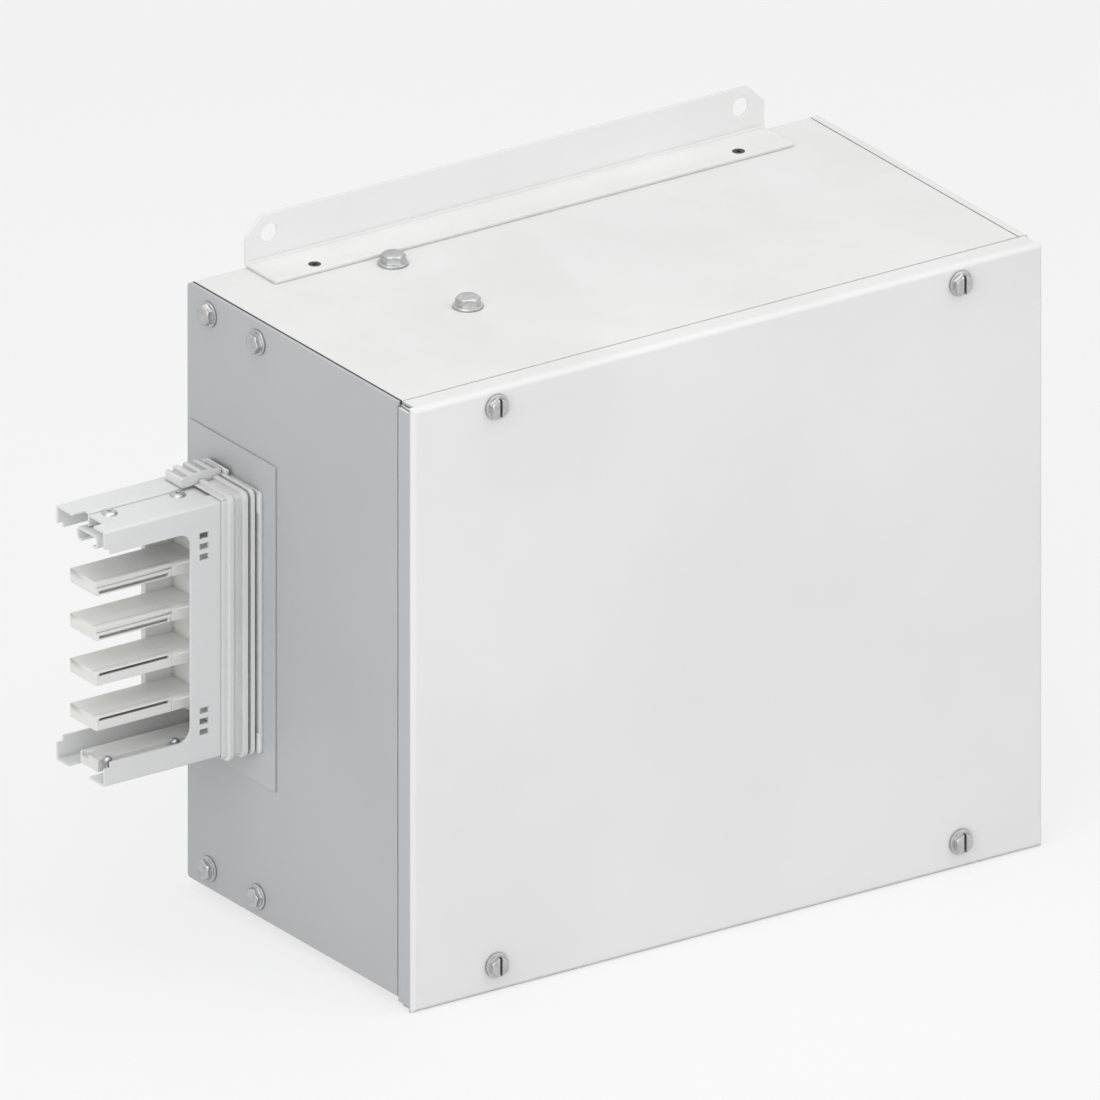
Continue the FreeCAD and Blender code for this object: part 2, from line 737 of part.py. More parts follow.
def make_finger_block():
    """The moulding that holds the finger roots: shelves, a full section and an apron round its end."""
    x0 = stub_end + finger_end
    x_full = stub_end + carrier_full
    x1 = stub_end + carrier_end
    heights = finger_heights()
    low = heights[-1] - finger_thick / 2 - carrier_margin
    high = heights[0] + finger_thick / 2 + carrier_margin
    back = stub_back + finger_back - carrier_plate
    front = stub_back + finger_back + finger_width
    body = block(x_full, x1, back, front, low, high)
    body = body.fuse(block(x0, x_full, back, back + carrier_plate, low, high))
    for z in heights:
        shelf = block(x0, x_full, back, front, z - finger_thick / 2, z + finger_thick / 2)
        shelf = along_x(shelf, finger_round, ((front, z + finger_thick / 2),))
        body = body.fuse(shelf)
    body = body.fuse(block(stub_end + carrier_apron, x1, stub_back + stub_sheet + touch,
                           stub_front - stub_sheet - touch, stub_bottom + stub_sheet + touch,
                           stub_top - rail_drop - rail_leg - touch))
    for z in heights:
        body = body.cut(bar_space(x0, x1, z))
    return body.removeSplitter()


def make_bar(index):
    z = finger_heights()[index]
    x0 = stub_end + finger_start + finger_tip + bar_fit
    bar = block(x0, bar_end, bar_back, bar_back + bar_width, z - bar_thick / 2, z + bar_thick / 2)
    low = z - bar_thick / 2
    return bar.cut(rod(bar_hole_x, stub_middle, low, terminal_screw[0] + hole_gap, bar_thick, "up"))


def collar_section(x0, x1, side, front, rise, radius):
    """One step of the collar: a rounded block round the stub."""
    body = block(-x0, -x1, stub_back - side, stub_front + front, stub_bottom - rise, stub_top + rise)
    corners = [(f, z) for f in (stub_back - side, stub_front + front)
               for z in (stub_bottom - rise, stub_top + rise)]
    return along_x(body, radius, corners)


def make_collar():
    """Ribbed moulding round the stub, with a flange on the surround plate and a stop bar on top."""
    end = surround_sheet
    body = collar_section(collar_start, end, collar_neck, collar_neck, collar_neck, collar_neck_round)
    for x0, x1 in collar_ribs:
        body = body.fuse(collar_section(x0, x1, collar_side_rise, collar_front_rise, collar_rise,
                                        collar_round))
    body = body.fuse(collar_section(collar_flange_start, end, collar_flange_rise, collar_flange_front,
                                    collar_flange_rise, collar_flange_round))
    f0, f1 = [stub_front + f for f in collar_pad_front]
    for z0 in (stub_bottom, stub_top - collar_pad_height):
        body = body.fuse(block(-collar_flange_start - collar_pad_rise, -collar_flange_start, f0, f1,
                               z0, z0 + collar_pad_height))
    back = stub_back + stop_bar_back
    bar = block(-stop_bar_x[0], -stop_bar_x[1], back, back + stop_bar_length,
                stub_top, stub_top + stop_bar_rise)
    body = body.fuse(soften(bar, stop_bar_round, lambda x, f, z: near(z, stub_top + stop_bar_rise)))
    body = body.cut(stub_hole(-collar_start, -end, touch))
    pocket = block(-latch_x[0] - latch_travel, -latch_x[1] + touch, stub_back + latch_back - touch,
                   stub_back + latch_back + latch_width + touch, stub_top, stub_top + 2 * latch_rise)
    return body.cut(pocket).removeSplitter()


def make_surround():
    back = surround_back
    plate = block(-surround_sheet, 0, back, back + surround_width, surround_bottom,
                  surround_bottom + surround_height)
    return plate.cut(stub_hole(-surround_sheet, 0, stub_gap))


def make_latch():
    """A thumb slider: arched and grooved body on the stub, neck through its slot, foot below the sheet."""
    x0 = -latch_x[0]
    x1 = -latch_x[1]
    back = stub_back + latch_back
    front = back + latch_width
    low = stub_top + touch
    top = stub_top + latch_rise
    crown = x0 + latch_crown
    body = block(x0, x1, back, front, low, top)
    body = body.common(rod(crown, back, top - latch_arch, latch_arch, latch_width, "front"))
    body = soften(body, latch_round, lambda x, f, z: near(x, x0) and not near(z, low))
    floor = rod(crown, back, top - latch_arch, latch_arch - latch_groove, latch_width, "front")
    pitch = (x1 - x0) / latch_groove_count
    half = latch_groove_width / 2
    for i in range(latch_groove_count):
        middle = x0 + (i + 0.5) * pitch
        groove = block(middle - half, middle + half, back, front - latch_wall, low, top)
        body = body.cut(groove.cut(floor))
    inset = x0 + latch_foot_inset()
    middle = (back + front) / 2
    half = latch_neck / 2
    body = body.fuse(block(inset, inset + latch_neck, middle - half, middle + half,
                           stub_top - stub_sheet - touch, low))
    foot = latch_foot / 2
    centre = inset + half
    body = body.fuse(block(centre - foot, centre + foot, middle - foot, middle + foot,
                           stub_top - stub_sheet - touch - latch_foot_thick, stub_top - stub_sheet - touch))
    return body.removeSplitter()


def make_hanger():
    """Steel angle under the top of the box that carries the terminal comb and the shield."""
    top = box_height - wall
    x0 = top_bolt_x - hanger_half
    plate = block(x0, hanger_leg_x + wall, hanger_back, hanger_front, top - wall, top)
    leg = block(hanger_leg_x, hanger_leg_x + wall, hanger_back, hanger_front, hanger_bottom, top)
    angle = plate.fuse(leg).removeSplitter()
    for f in top_bolt_depths:
        angle = angle.cut(rod(top_bolt_x, f, top - wall, large_screw[0] + hole_gap, wall, "up"))
    for z in comb_screw_heights():
        angle = angle.cut(rod(hanger_leg_x, stub_middle, z, panel_screw[0] + hole_gap, wall, "right"))
    for z in shield_screw_heights:
        tapped = rod(hanger_leg_x, shield_screw_depth, z, panel_screw[0] + thread_gap, wall, "right")
        angle = angle.cut(tapped)
    return angle


def comb_span():
    heights = finger_heights()
    return heights[-1] - comb_margin - bar_thick, heights[0] + comb_margin + bar_thick


def comb_screw_heights():
    low, high = comb_span()
    return low + comb_screw_inset, high - comb_screw_inset


def make_terminal_comb():
    """Insulator on the hanger's leg with a blind slot for the end of each bar."""
    low, high = comb_span()
    x1 = hanger_leg_x
    body = block(x1 - comb_thick, x1, stub_middle - comb_width / 2, stub_middle + comb_width / 2, low, high)
    for z in finger_heights():
        body = body.cut(bar_space(x1 - comb_thick, x1 - comb_floor, z))
    for z in comb_screw_heights():
        body = body.cut(rod(x1 - comb_screw_hole, stub_middle, z, panel_screw[0] + thread_gap,
                            comb_screw_hole, "right"))
    return body


def make_entry_comb():
    """Insulator inside the stub where the bars come into the box."""
    low, high = comb_span()
    x0 = wall
    body = block(x0, x0 + entry_comb_thick, stub_back + stub_sheet + touch, stub_front - stub_sheet - touch,
                 low, high)
    for z in finger_heights():
        body = body.cut(bar_space(x0, x0 + entry_comb_thick, z))
    return body


def make_shield():
    """Clear guard in front of the terminals, screwed to the side of the hanger's leg."""
    x1 = hanger_leg_x + wall + shield_sheet
    front = hanger_front + shield_gap + shield_sheet
    face = block(shield_start, x1, front - shield_sheet, front, shield_bottom, shield_top)
    side = block(x1 - shield_sheet, x1, shield_screw_depth - shield_tab, front, shield_bottom, shield_top)
    guard = face.fuse(side).removeSplitter()
    guard = soften(guard, shield_sheet, lambda x, f, z: near(x, x1) and near(f, front))
    for z in shield_screw_heights:
        guard = guard.cut(rod(x1 - shield_sheet, shield_screw_depth, z, panel_screw[0] + hole_gap,
                              shield_sheet, "right"))
    return guard


def earth_stud_xs():
    return earth_bar_x[0] + earth_stud_inset, earth_bar_x[1] - earth_stud_inset


def earth_screw_xs():
    first, last = earth_stud_xs()
    step = (last - first) / (earth_screw_count + 1)
    return [first + (i + 1) * step for i in range(earth_screw_count)]


def make_earth_bar():
    z0, z1 = earth_bar_z
    f0 = wall + earth_standoff
    bar = block(earth_bar_x[0], earth_bar_x[1], f0, f0 + earth_bar_thick, z0, z1)
    middle = (z0 + z1) / 2
    for x in earth_stud_xs():
        bar = bar.cut(rod(x, f0, middle, earth_stud_r + hole_gap, earth_bar_thick, "front"))
    for x in earth_screw_xs():
        bar = bar.cut(rod(x, f0, middle, panel_screw[0] + thread_gap, earth_bar_thick, "front"))
    return bar


def gland_screw_places():
    """Six screws round the gland plate: its corners and the middles of its long sides."""
    half_f = gland_opening[0] / 2 + gland_screw_inset
    half_z = gland_opening[1] / 2 + gland_screw_inset
    return [(gland_centre[0] + i * half_f, gland_centre[1] + j * half_z) for i in (-1, 1) for j in (-1, 0, 1)]


def gland_sheet(x0, x1, hole_r):
    half_f = gland_opening[0] / 2 + gland_rim
    half_z = gland_opening[1] / 2 + gland_rim
    sheet = block(x0, x1, gland_centre[0] - half_f, gland_centre[0] + half_f,
                  gland_centre[1] - half_z, gland_centre[1] + half_z)
    for f, z in gland_screw_places():
        sheet = sheet.cut(rod(x0, f, z, hole_r, x1 - x0, "right"))
    return sheet


# Box, end plates and their fasteners
write("rear_shell", make_rear_shell())
write("left_end_plate", make_left_end_plate())
write("left_plate_gasket", make_left_gasket())
write("right_end_plate", make_right_end_plate())
write("right_plate_gasket", make_right_gasket())

end_screw = screw(small_screw, end_screw_length)
end_nut = nut(small_screw[0], small_screw[1], nut_height)
end_places = [(f, z) for f in end_screw_depths for z in end_screw_heights]
write("left_plate_screws", Part.makeCompound([place(end_screw, 0, f, z, "left") for f, z in end_places]))
write("left_plate_nuts", Part.makeCompound(
    [place(end_nut, left_wall_x + wall, f, z, "right") for f, z in end_places]))
write("right_plate_screws", Part.makeCompound(
    [place(end_screw, box_width, f, z, "right") for f, z in end_places]))
write("right_plate_nuts", Part.makeCompound(
    [place(end_nut, right_wall_x - wall, f, z, "left") for f, z in end_places]))

# Cover and its frame
write("front_frame", make_front_frame())
write("cover_gasket", make_cover_gasket())
write("front_cover", make_front_cover())
cover_places = [(x, z) for z in reversed(cover_screw_zs) for x in cover_screw_xs]
write("cover_nuts", Part.makeCompound(
    [place(rivet_nut(), x, frame_front, z, "front") for x, z in cover_places]))
cover_screw = screw(small_screw, cover_screw_length, slotted=True)
for number, (x, z) in enumerate(cover_places):
    write("cover_screw_" + str(number + 1), place(cover_screw, x, cover_front + touch, z, "front"))
retainer_depth = cover_front - cover_sheet - touch - retainer_thick
retainers = []
for x, z in cover_places:
    ring = rod(x, retainer_depth, z, retainer_r, retainer_thick, "front")
    bore = rod(x, retainer_depth, z, small_screw[0] + 2 * thread_gap, retainer_thick, "front")
    retainers.append(ring.cut(bore))
write("screw_retainers", Part.makeCompound(retainers))

# Bracket and top bolts
write("mounting_bracket", make_bracket())
write("bracket_rivets", Part.makeCompound([bracket_rivet(x) for x in bracket_rivet_xs()]))
top_bolt = screw(large_screw, top_bolt_length)
top_nut = nut(large_screw[0], terminal_screw[1], terminal_nut_height)
write("top_bolts", Part.makeCompound(
    [place(top_bolt, top_bolt_x, f, box_height, "up") for f in top_bolt_depths]))
write("top_nuts", Part.makeCompound(
    [place(top_nut, top_bolt_x, f, box_height - 2 * wall, "down") for f in top_bolt_depths]))

# Stub
write("surround_plate", make_surround())
write("stub_rear_shell", make_stub_rear_shell())
write("stub_front_shell", make_stub_front_shell())
write("stub_top_rail", make_top_rail())
write("stub_rivets", Part.makeCompound([stub_rivet(stub_end + x) for x in rivet_places]))
write("stub_bottom_block", make_bottom_block())
write("locating_balls", Part.makeCompound([locating_ball(stub_end + x) for x in snap_places]))
write("finger_block", make_finger_block())
for index in range(finger_count):
    write("finger_" + str(index + 1), make_finger(index))
    write("conductor_bar_" + str(index + 1), make_bar(index))
write("collar", make_collar())
write("thumb_latch", make_latch())

# Terminals inside the box
write("entry_comb", make_entry_comb())
write("terminal_hanger", make_hanger())
write("terminal_comb", make_terminal_comb())
comb_screw = screw(panel_screw, comb_screw_length)
write("comb_screws", Part.makeCompound(
    [place(comb_screw, hanger_leg_x + wall, stub_middle, z, "right") for z in comb_screw_heights()]))
bolts = []
washers = []
nuts = []
stack = bar_thick + 2 * washer_thick + terminal_nut_height + bolt_end
terminal_bolt = screw(terminal_screw, stack)
terminal_washer = Part.makeCylinder(washer_r, washer_thick).cut(
    Part.makeCylinder(terminal_screw[0] + hole_gap, washer_thick))
terminal_nut = nut(terminal_screw[0], terminal_screw[1], terminal_nut_height)
for z in finger_heights():
    below = z - bar_thick / 2 - washer_thick
    above = z + bar_thick / 2
    bolts.append(place(terminal_bolt, bar_hole_x, stub_middle, below, "down"))
    washers.append(place(terminal_washer, bar_hole_x, stub_middle, below, "up"))
    washers.append(place(terminal_washer, bar_hole_x, stub_middle, above, "up"))
    nuts.append(place(terminal_nut, bar_hole_x, stub_middle, above + washer_thick, "up"))
write("terminal_bolts", Part.makeCompound(bolts))
write("terminal_washers", Part.makeCompound(washers))
write("terminal_nuts", Part.makeCompound(nuts))
write("terminal_shield", make_shield())
shield_screw = screw(panel_screw, shield_sheet + wall + screw_end)
write("shield_screws", Part.makeCompound(
    [place(shield_screw, hanger_leg_x + wall + shield_sheet, shield_screw_depth, z, "right")
     for z in shield_screw_heights]))

# Earth bar
write("earth_bar", make_earth_bar())
earth_middle = (earth_bar_z[0] + earth_bar_z[1]) / 2
studs = []
for x in earth_stud_xs():
    shoulder = rod(x, wall, earth_middle, earth_shoulder_r, earth_standoff, "front")
    thread = rod(x, wall, earth_middle, earth_stud_r, earth_standoff + earth_thread, "front")
    studs.append(shoulder.fuse(thread).removeSplitter())
write("earth_studs", Part.makeCompound(studs))
earth_face = wall + earth_standoff + earth_bar_thick
earth_nut = nut(earth_stud_r, small_screw[1], nut_height)
write("earth_nuts", Part.makeCompound(
    [place(earth_nut, x, earth_face, earth_middle, "front") for x in earth_stud_xs()]))
earth_screw = screw(panel_screw, earth_bar_thick + screw_end)
write("earth_screws", Part.makeCompound(
    [place(earth_screw, x, earth_face, earth_middle, "front") for x in earth_screw_xs()]))

# Gland plate
gland_x = box_width + gland_gasket_thick
gasket = gland_sheet(box_width, gland_x, panel_screw[0] + hole_gap)
half_f = gland_opening[0] / 2
half_z = gland_opening[1] / 2
gasket = gasket.cut(block(box_width, gland_x, gland_centre[0] - half_f, gland_centre[0] + half_f,
                          gland_centre[1] - half_z, gland_centre[1] + half_z))
write("gland_gasket", gasket)
write("gland_plate", gland_sheet(gland_x, gland_x + wall, panel_screw[0] + hole_gap))
gland_screw = screw(panel_screw, gland_gasket_thick + 2 * wall + screw_end)
write("gland_screws", Part.makeCompound(
    [place(gland_screw, gland_x + wall, f, z, "right") for f, z in gland_screw_places()]))
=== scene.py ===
# %% [markdown]
# # Busway tap off box
# The real object is a steel box that hangs on a wall by a bracket. The end of a small busway run
# stands out of its grey left end: a two-part casing with four insulated fingers in it.
# Its construction comes in as a fixed frame. This lesson dresses it: softened edges, turned and
# threaded fasteners, and a finish for every surface.
# All lengths are in metres, in the frame's own axes: X to the right, Y to the wall, Z up.

# %% Load the frame
import bmesh
import bpy
import json
import math
import numpy as np
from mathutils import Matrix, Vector

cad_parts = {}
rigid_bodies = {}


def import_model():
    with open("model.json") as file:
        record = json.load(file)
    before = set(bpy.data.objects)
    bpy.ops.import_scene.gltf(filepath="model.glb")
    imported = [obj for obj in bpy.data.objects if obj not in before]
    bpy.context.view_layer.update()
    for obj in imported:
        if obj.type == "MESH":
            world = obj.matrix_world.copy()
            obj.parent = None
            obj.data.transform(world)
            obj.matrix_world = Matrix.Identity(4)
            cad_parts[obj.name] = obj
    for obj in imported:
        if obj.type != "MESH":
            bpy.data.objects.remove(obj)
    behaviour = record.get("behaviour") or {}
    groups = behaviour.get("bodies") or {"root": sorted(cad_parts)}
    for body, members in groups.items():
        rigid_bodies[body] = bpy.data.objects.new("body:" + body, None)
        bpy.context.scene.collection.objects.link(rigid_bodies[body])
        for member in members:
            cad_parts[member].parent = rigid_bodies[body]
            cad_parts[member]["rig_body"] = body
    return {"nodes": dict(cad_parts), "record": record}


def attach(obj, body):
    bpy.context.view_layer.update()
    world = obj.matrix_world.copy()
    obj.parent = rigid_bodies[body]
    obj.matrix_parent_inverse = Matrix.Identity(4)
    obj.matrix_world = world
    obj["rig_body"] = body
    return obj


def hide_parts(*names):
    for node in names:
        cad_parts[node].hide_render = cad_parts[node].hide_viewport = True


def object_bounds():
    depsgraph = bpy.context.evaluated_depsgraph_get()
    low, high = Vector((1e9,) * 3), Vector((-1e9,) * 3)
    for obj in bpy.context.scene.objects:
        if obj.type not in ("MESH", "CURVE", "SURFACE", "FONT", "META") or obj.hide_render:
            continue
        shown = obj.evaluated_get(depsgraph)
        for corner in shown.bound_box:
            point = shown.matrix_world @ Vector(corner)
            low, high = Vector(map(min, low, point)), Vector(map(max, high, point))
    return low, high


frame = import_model()
cad_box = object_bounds()
print("the frame's size in millimetres:", [round(1000 * side, 1) for side in cad_box[1] - cad_box[0]])

# %% Names that the frame gives
mm = 0.001
nodes = frame["nodes"]
body_of = {name: node["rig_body"] for name, node in nodes.items()}
slot_of = {row["node"]: row["material_slot"] for row in frame["record"]["subparts"]}

# %% [markdown]
# ## Sums instead of boxes and noodles
# A node tree that works out a shape or a finish is mostly arithmetic. It could be wired by hand,
# one Math node at a time, but that hides the sum that it stands for. A small class lets the
# script write the sum itself, and adds the Math nodes as it goes.

# %% Wires
class Wire:
    """An output socket. Sums of wires and numbers add Math nodes to its tree."""

    def __init__(self, socket):
        self.socket = socket
        self.tree = socket.id_data

    def math(self, operation, *others):
        """Add one Math node that has this wire as its first input."""
        made = self.tree.nodes.new("ShaderNodeMath")
        made.operation = operation
        for place, value in enumerate((self, *others)):
            feed(made.inputs[place], value)
        return Wire(made.outputs[0])

    def __add__(self, other):
        return self.math("ADD", other)

    def __sub__(self, other):
        return self.math("SUBTRACT", other)

    def __mul__(self, other):
        return self.math("MULTIPLY", other)

    def __truediv__(self, other):
        return self.math("DIVIDE", other)

    def least(self, other):
        return self.math("MINIMUM", other)

    def most(self, other):
        return self.math("MAXIMUM", other)

    def over(self, limit):
        return self.math("GREATER_THAN", limit)


def feed(socket, value):
    """Give a socket a wire or a plain value."""
    if isinstance(value, Wire):
        socket.id_data.links.new(value.socket, socket)
    else:
        socket.default_value = value


def add(tree, kind, inputs=None, **options):
    """Add a node, set its options and feed its inputs, by name or by number."""
    made = tree.nodes.new(kind)
    for name, value in options.items():
        setattr(made, name, value)
    for name, value in (inputs or {}).items():
        feed(made.inputs[name], value)
    return made


def out(made, name=0):
    """A node's output as a wire."""
    return Wire(made.outputs[name])


# %% Groups with named sockets
NUMBER = "NodeSocketFloat"
VECTOR = "NodeSocketVector"
SHAPE = "NodeSocketGeometry"


def new_group(name, kind, inputs, outputs):
    """Start a node group, and give its inputs as wires."""
    tree = bpy.data.node_groups.new(name, kind)
    for label, (socket_kind, start) in inputs.items():
        socket = tree.interface.new_socket(label, in_out="INPUT", socket_type=socket_kind)
        if start is not None:
            socket.default_value = start
    for label, socket_kind in outputs.items():
        tree.interface.new_socket(label, in_out="OUTPUT", socket_type=socket_kind)
    entry = tree.nodes.new("NodeGroupInput")
    return tree, {label: out(entry, label) for label in inputs}


def close_group(tree, results):
    """Wire the results to the group's outputs."""
    end = tree.nodes.new("NodeGroupOutput")
    for label, value in results.items():
        feed(end.inputs[label], value)
    print("group", tree.name, "has", len(tree.nodes), "nodes")
    return tree


# %% [markdown]
# ## Effects that several finishes share
# Paint, plastic and plated steel all wear at their edges, gather dust on top and carry marks from hands and
# tools, and their crevices are darkened by painted shade with flecks of grime. Each effect is a node group
# with named inputs, built once. It puts out a mask, and each material decides what the mask does to its own
# colour and gloss.

# %% Shading helpers
def object_place(tree):
    """Position on the piece, in metres."""
    return out(add(tree, "ShaderNodeTexCoord"), "Object")


def object_normal(tree):
    """Direction of the surface, in the piece's own axes, as three wires."""
    normal = out(add(tree, "ShaderNodeTexCoord"), "Normal")
    return [out(add(tree, "ShaderNodeSeparateXYZ", {0: normal}), side) for side in "XYZ"]


def stretched(place, scale):
    """A place with each axis scaled, which stretches a pattern along the small ones."""
    return out(add(place.tree, "ShaderNodeVectorMath", {0: place, 1: scale}, operation="MULTIPLY"))


def noise(place, scale, detail=2.0, roughness=0.5):
    """Cloudy values between 0 and 1. The scale is in clouds per metre."""
    return out(add(place.tree, "ShaderNodeTexNoise", {"Vector": place, "Scale": scale, "Detail": detail,
                                                      "Roughness": roughness}), "Fac")


def between(value, low, high):
    """0 up to low, 1 from high on, and smooth in between."""
    return out(add(value.tree, "ShaderNodeMapRange", {0: value, 1: low, 2: high},
                   interpolation_type="SMOOTHSTEP"))


def mixed(factor, first, second):
    """Two colours mixed by a mask."""
    made = add(factor.tree, "ShaderNodeMix", data_type="RGBA")
    for place, value in ((0, factor), (6, first), (7, second)):
        feed(made.inputs[place], value if isinstance(value, Wire) or place == 0 else (*value, 1.0))
    return Wire(made.outputs[2])


# %% Edge wear
# A Bevel node rounds the normal near an edge. Where it leans away from the real one, there is an edge.
wear, pin = new_group("Edge wear", "ShaderNodeTree", {
    "Reach": (NUMBER, 1.0 * mm), "Patch Scale": (NUMBER, 400.0), "Amount": (NUMBER, 0.5)},
    {"Mask": NUMBER})
rounded = out(add(wear, "ShaderNodeBevel", {"Radius": pin["Reach"]}, samples=4))
true_normal = out(add(wear, "ShaderNodeNewGeometry"), "Normal")
agreement = Wire(add(wear, "ShaderNodeVectorMath", {0: rounded, 1: true_normal},
                     operation="DOT_PRODUCT").outputs["Value"])
edge = between(agreement * -1.0 + 1.0, 0.02, 0.22)
patches = between(noise(object_place(wear), pin["Patch Scale"], 3.0), 0.38, 0.62)
close_group(wear, {"Mask": edge * (patches * 0.7 + 0.3) * pin["Amount"]})

# %% Crevice shade and dirt
# Painted shade with flecks of grime: an ambient occlusion mask darkens seams, the places round screw heads
# and inner corners, where shade falls and where grime also stays.
crevice_shade_and_dirt, pin = new_group("Crevice shade and dirt", "ShaderNodeTree", {
    "Reach": (NUMBER, 4.0 * mm), "Amount": (NUMBER, 0.5)}, {"Mask": NUMBER})
openness = out(add(crevice_shade_and_dirt, "ShaderNodeAmbientOcclusion", {"Distance": pin["Reach"]}, samples=8), "AO")
flecks = between(noise(object_place(crevice_shade_and_dirt), 350.0, 3.0), 0.25, 0.7)
in_shade = between(openness * -1.0 + 1.0, 0.05, 0.85)
close_group(crevice_shade_and_dirt, {"Mask": in_shade * (flecks * 0.3 + 0.7) * pin["Amount"]})

# %% Dust
# Dust settles on what faces up, in soft drifts.
dust, pin = new_group("Dust", "ShaderNodeTree", {
    "Drift Scale": (NUMBER, 22.0), "Amount": (NUMBER, 0.2)}, {"Mask": NUMBER})
facing_up = between(object_normal(dust)[2], 0.55, 0.98)
drift = between(noise(object_place(dust), pin["Drift Scale"], 4.0, 0.6), 0.3, 0.75)
close_group(dust, {"Mask": facing_up * (drift * 0.75 + 0.25) * pin["Amount"]})

# %% Handling marks
# Hands and cloths leave broad faint smears. They change the gloss more than the colour.
marks, pin = new_group("Handling marks", "ShaderNodeTree", {
    "Smear Scale": (NUMBER, 9.0), "Amount": (NUMBER, 0.3)}, {"Mask": NUMBER})
place = object_place(marks)
cloudy = between(noise(place, pin["Smear Scale"], 3.0, 0.55), 0.46, 0.72)
streaky = noise(stretched(place, (1.0, 1.0, 5.0)), 55.0, 3.0, 0.6)
close_group(marks, {"Mask": cloudy * (streaky * 0.6 + 0.4) * pin["Amount"]})

# %% Grain
# One fine texture for powder coat, moulded plastic and rubber: hills of one size with fine grit on them.
grain, pin = new_group("Grain", "ShaderNodeTree", {
    "Hill Scale": (NUMBER, 620.0), "Grit Scale": (NUMBER, 2600.0), "Grit": (NUMBER, 0.3)},
    {"Height": NUMBER})
place = object_place(grain)
hills = noise(place, pin["Hill Scale"], 1.0)
grit = noise(place, pin["Grit Scale"], 1.0)
close_group(grain, {"Height": hills * (pin["Grit"] * -1.0 + 1.0) + grit * pin["Grit"]})

# %% Brushed lines
# Rolling and brushing leave lines along one direction. The Stretch input is small along the lines.
brushed, pin = new_group("Brushed lines", "ShaderNodeTree", {
    "Stretch": (VECTOR, (0.02, 1.0, 1.0)), "Line Scale": (NUMBER, 2200.0)}, {"Value": NUMBER})
lines = add(brushed, "ShaderNodeVectorMath", {0: object_place(brushed), 1: pin["Stretch"]},
            operation="MULTIPLY")
fine = noise(out(lines), pin["Line Scale"], 2.0, 0.65)
broad = noise(out(lines), 260.0, 2.0, 0.5)
close_group(brushed, {"Value": fine * 0.65 + broad * 0.35})


# %% Start and finish of a material
def start_material(name):
    """A new material with its tree and its one surface shader."""
    made = bpy.data.materials.new(name)
    made.use_nodes = True
    made.node_tree.nodes.clear()
    skin = made.node_tree.nodes.new("ShaderNodeBsdfPrincipled")
    end = made.node_tree.nodes.new("ShaderNodeOutputMaterial")
    made.node_tree.links.new(skin.outputs[0], end.inputs[0])
    return made, made.node_tree, skin


def effect(tree, group, **values):
    """Place a shared effect in a material with its own values."""
    made = add(tree, "ShaderNodeGroup", node_tree=group)
    for label, value in values.items():
        feed(made.inputs[label.replace("_", " ")], value)
    return out(made)


def relief(skin, height, depth, strength=1.0):
    """Bump from a height between 0 and 1, where 1 stands for a depth in metres."""
    made = add(skin.id_data, "ShaderNodeBump", {"Height": height, "Distance": depth, "Strength": strength})
    feed(skin.inputs["Normal"], out(made))


# %% [markdown]
# ## Powder coat
# The box is sprayed with powder that melts to a satin skin. Close to, the skin is slightly pebbled,
# like orange peel, and thins at sharp edges, where the grey primer and then the steel show through.
# White, grey and the casing's coat are one function with other colours.

# %% Painted sheet
PRIMER = (0.42, 0.43, 0.44)
DUST = (0.63, 0.61, 0.57)
# The dark colour of the painted shade in crevices, which is flecked like grime.
SHADE_AND_GRIME = (0.09, 0.085, 0.08)


def coated(name, colour, gloss=0.46, tone=0.05, worn=0.22, dusty=0.16, other=None):
    """Powder coat. Other is a second colour and the mask of where it lies."""
    made, tree, skin = start_material(name)
    place = object_place(tree)
    paint = mixed(between(noise(place, 6.0, 3.0), 0.3, 0.7), colour, tuple(c * (1 - tone) for c in colour))
    if other:
        paint = mixed(other[1](tree), paint, other[0])
    edge = effect(tree, wear, Reach=0.9 * mm, Patch_Scale=90.0, Amount=worn)
    bare = between(edge, 0.15, 0.22)
    # Painted shade: an ambient occlusion mask darkens seams and inner corners, flecked like grime, and
    # makes them a little rougher.
    shade_and_grime = effect(tree, crevice_shade_and_dirt)
    settled = effect(tree, dust, Amount=dusty)
    smear = effect(tree, marks, Amount=0.5)
    paint = mixed(edge * 0.55, paint, PRIMER)
    paint = mixed(settled, paint, DUST)
    paint = mixed(smear * 0.12, paint, tuple(c * 0.8 for c in colour))
    feed(skin.inputs["Base Color"], mixed(shade_and_grime, paint, SHADE_AND_GRIME))
    feed(skin.inputs["Roughness"], settled * 0.6 + smear * 0.16 + shade_and_grime * 0.2 - bare * 0.1 + gloss)
    relief(skin, effect(tree, grain), 0.03 * mm, 0.5)
    return made


def left_return(tree):
    """Mask of the flat that faces left: the cover's left return is grey, as the end plate is."""
    return between(object_normal(tree)[0] * -1.0, 0.93, 0.99)


WHITE = (0.84, 0.845, 0.84)
GREY = (0.5, 0.515, 0.525)
white_paint = coated("white powder coat", WHITE)
grey_paint = coated("grey powder coat", GREY, tone=0.04)
cover_paint = coated("cover powder coat", WHITE, other=(GREY, left_return))
surround_paint = coated("surround powder coat", tuple(c * 1.04 for c in GREY), gloss=0.36, worn=0.15)
casing_paint = coated("casing coat", (0.80, 0.81, 0.81), gloss=0.34, worn=0.25, dusty=0.08)
print("painted:", white_paint.name, grey_paint.name, cover_paint.name, casing_paint.name)

# %% [markdown]
# ## Moulded plastic and rubber
# The fingers, the collar and the combs are moulded. A mould is spark eroded, so its parts have an
# even fine grain and a soft sheen, and edges that are touched a lot turn smooth. The seals are
# closed-cell rubber: nearly black, dull, with small cells.


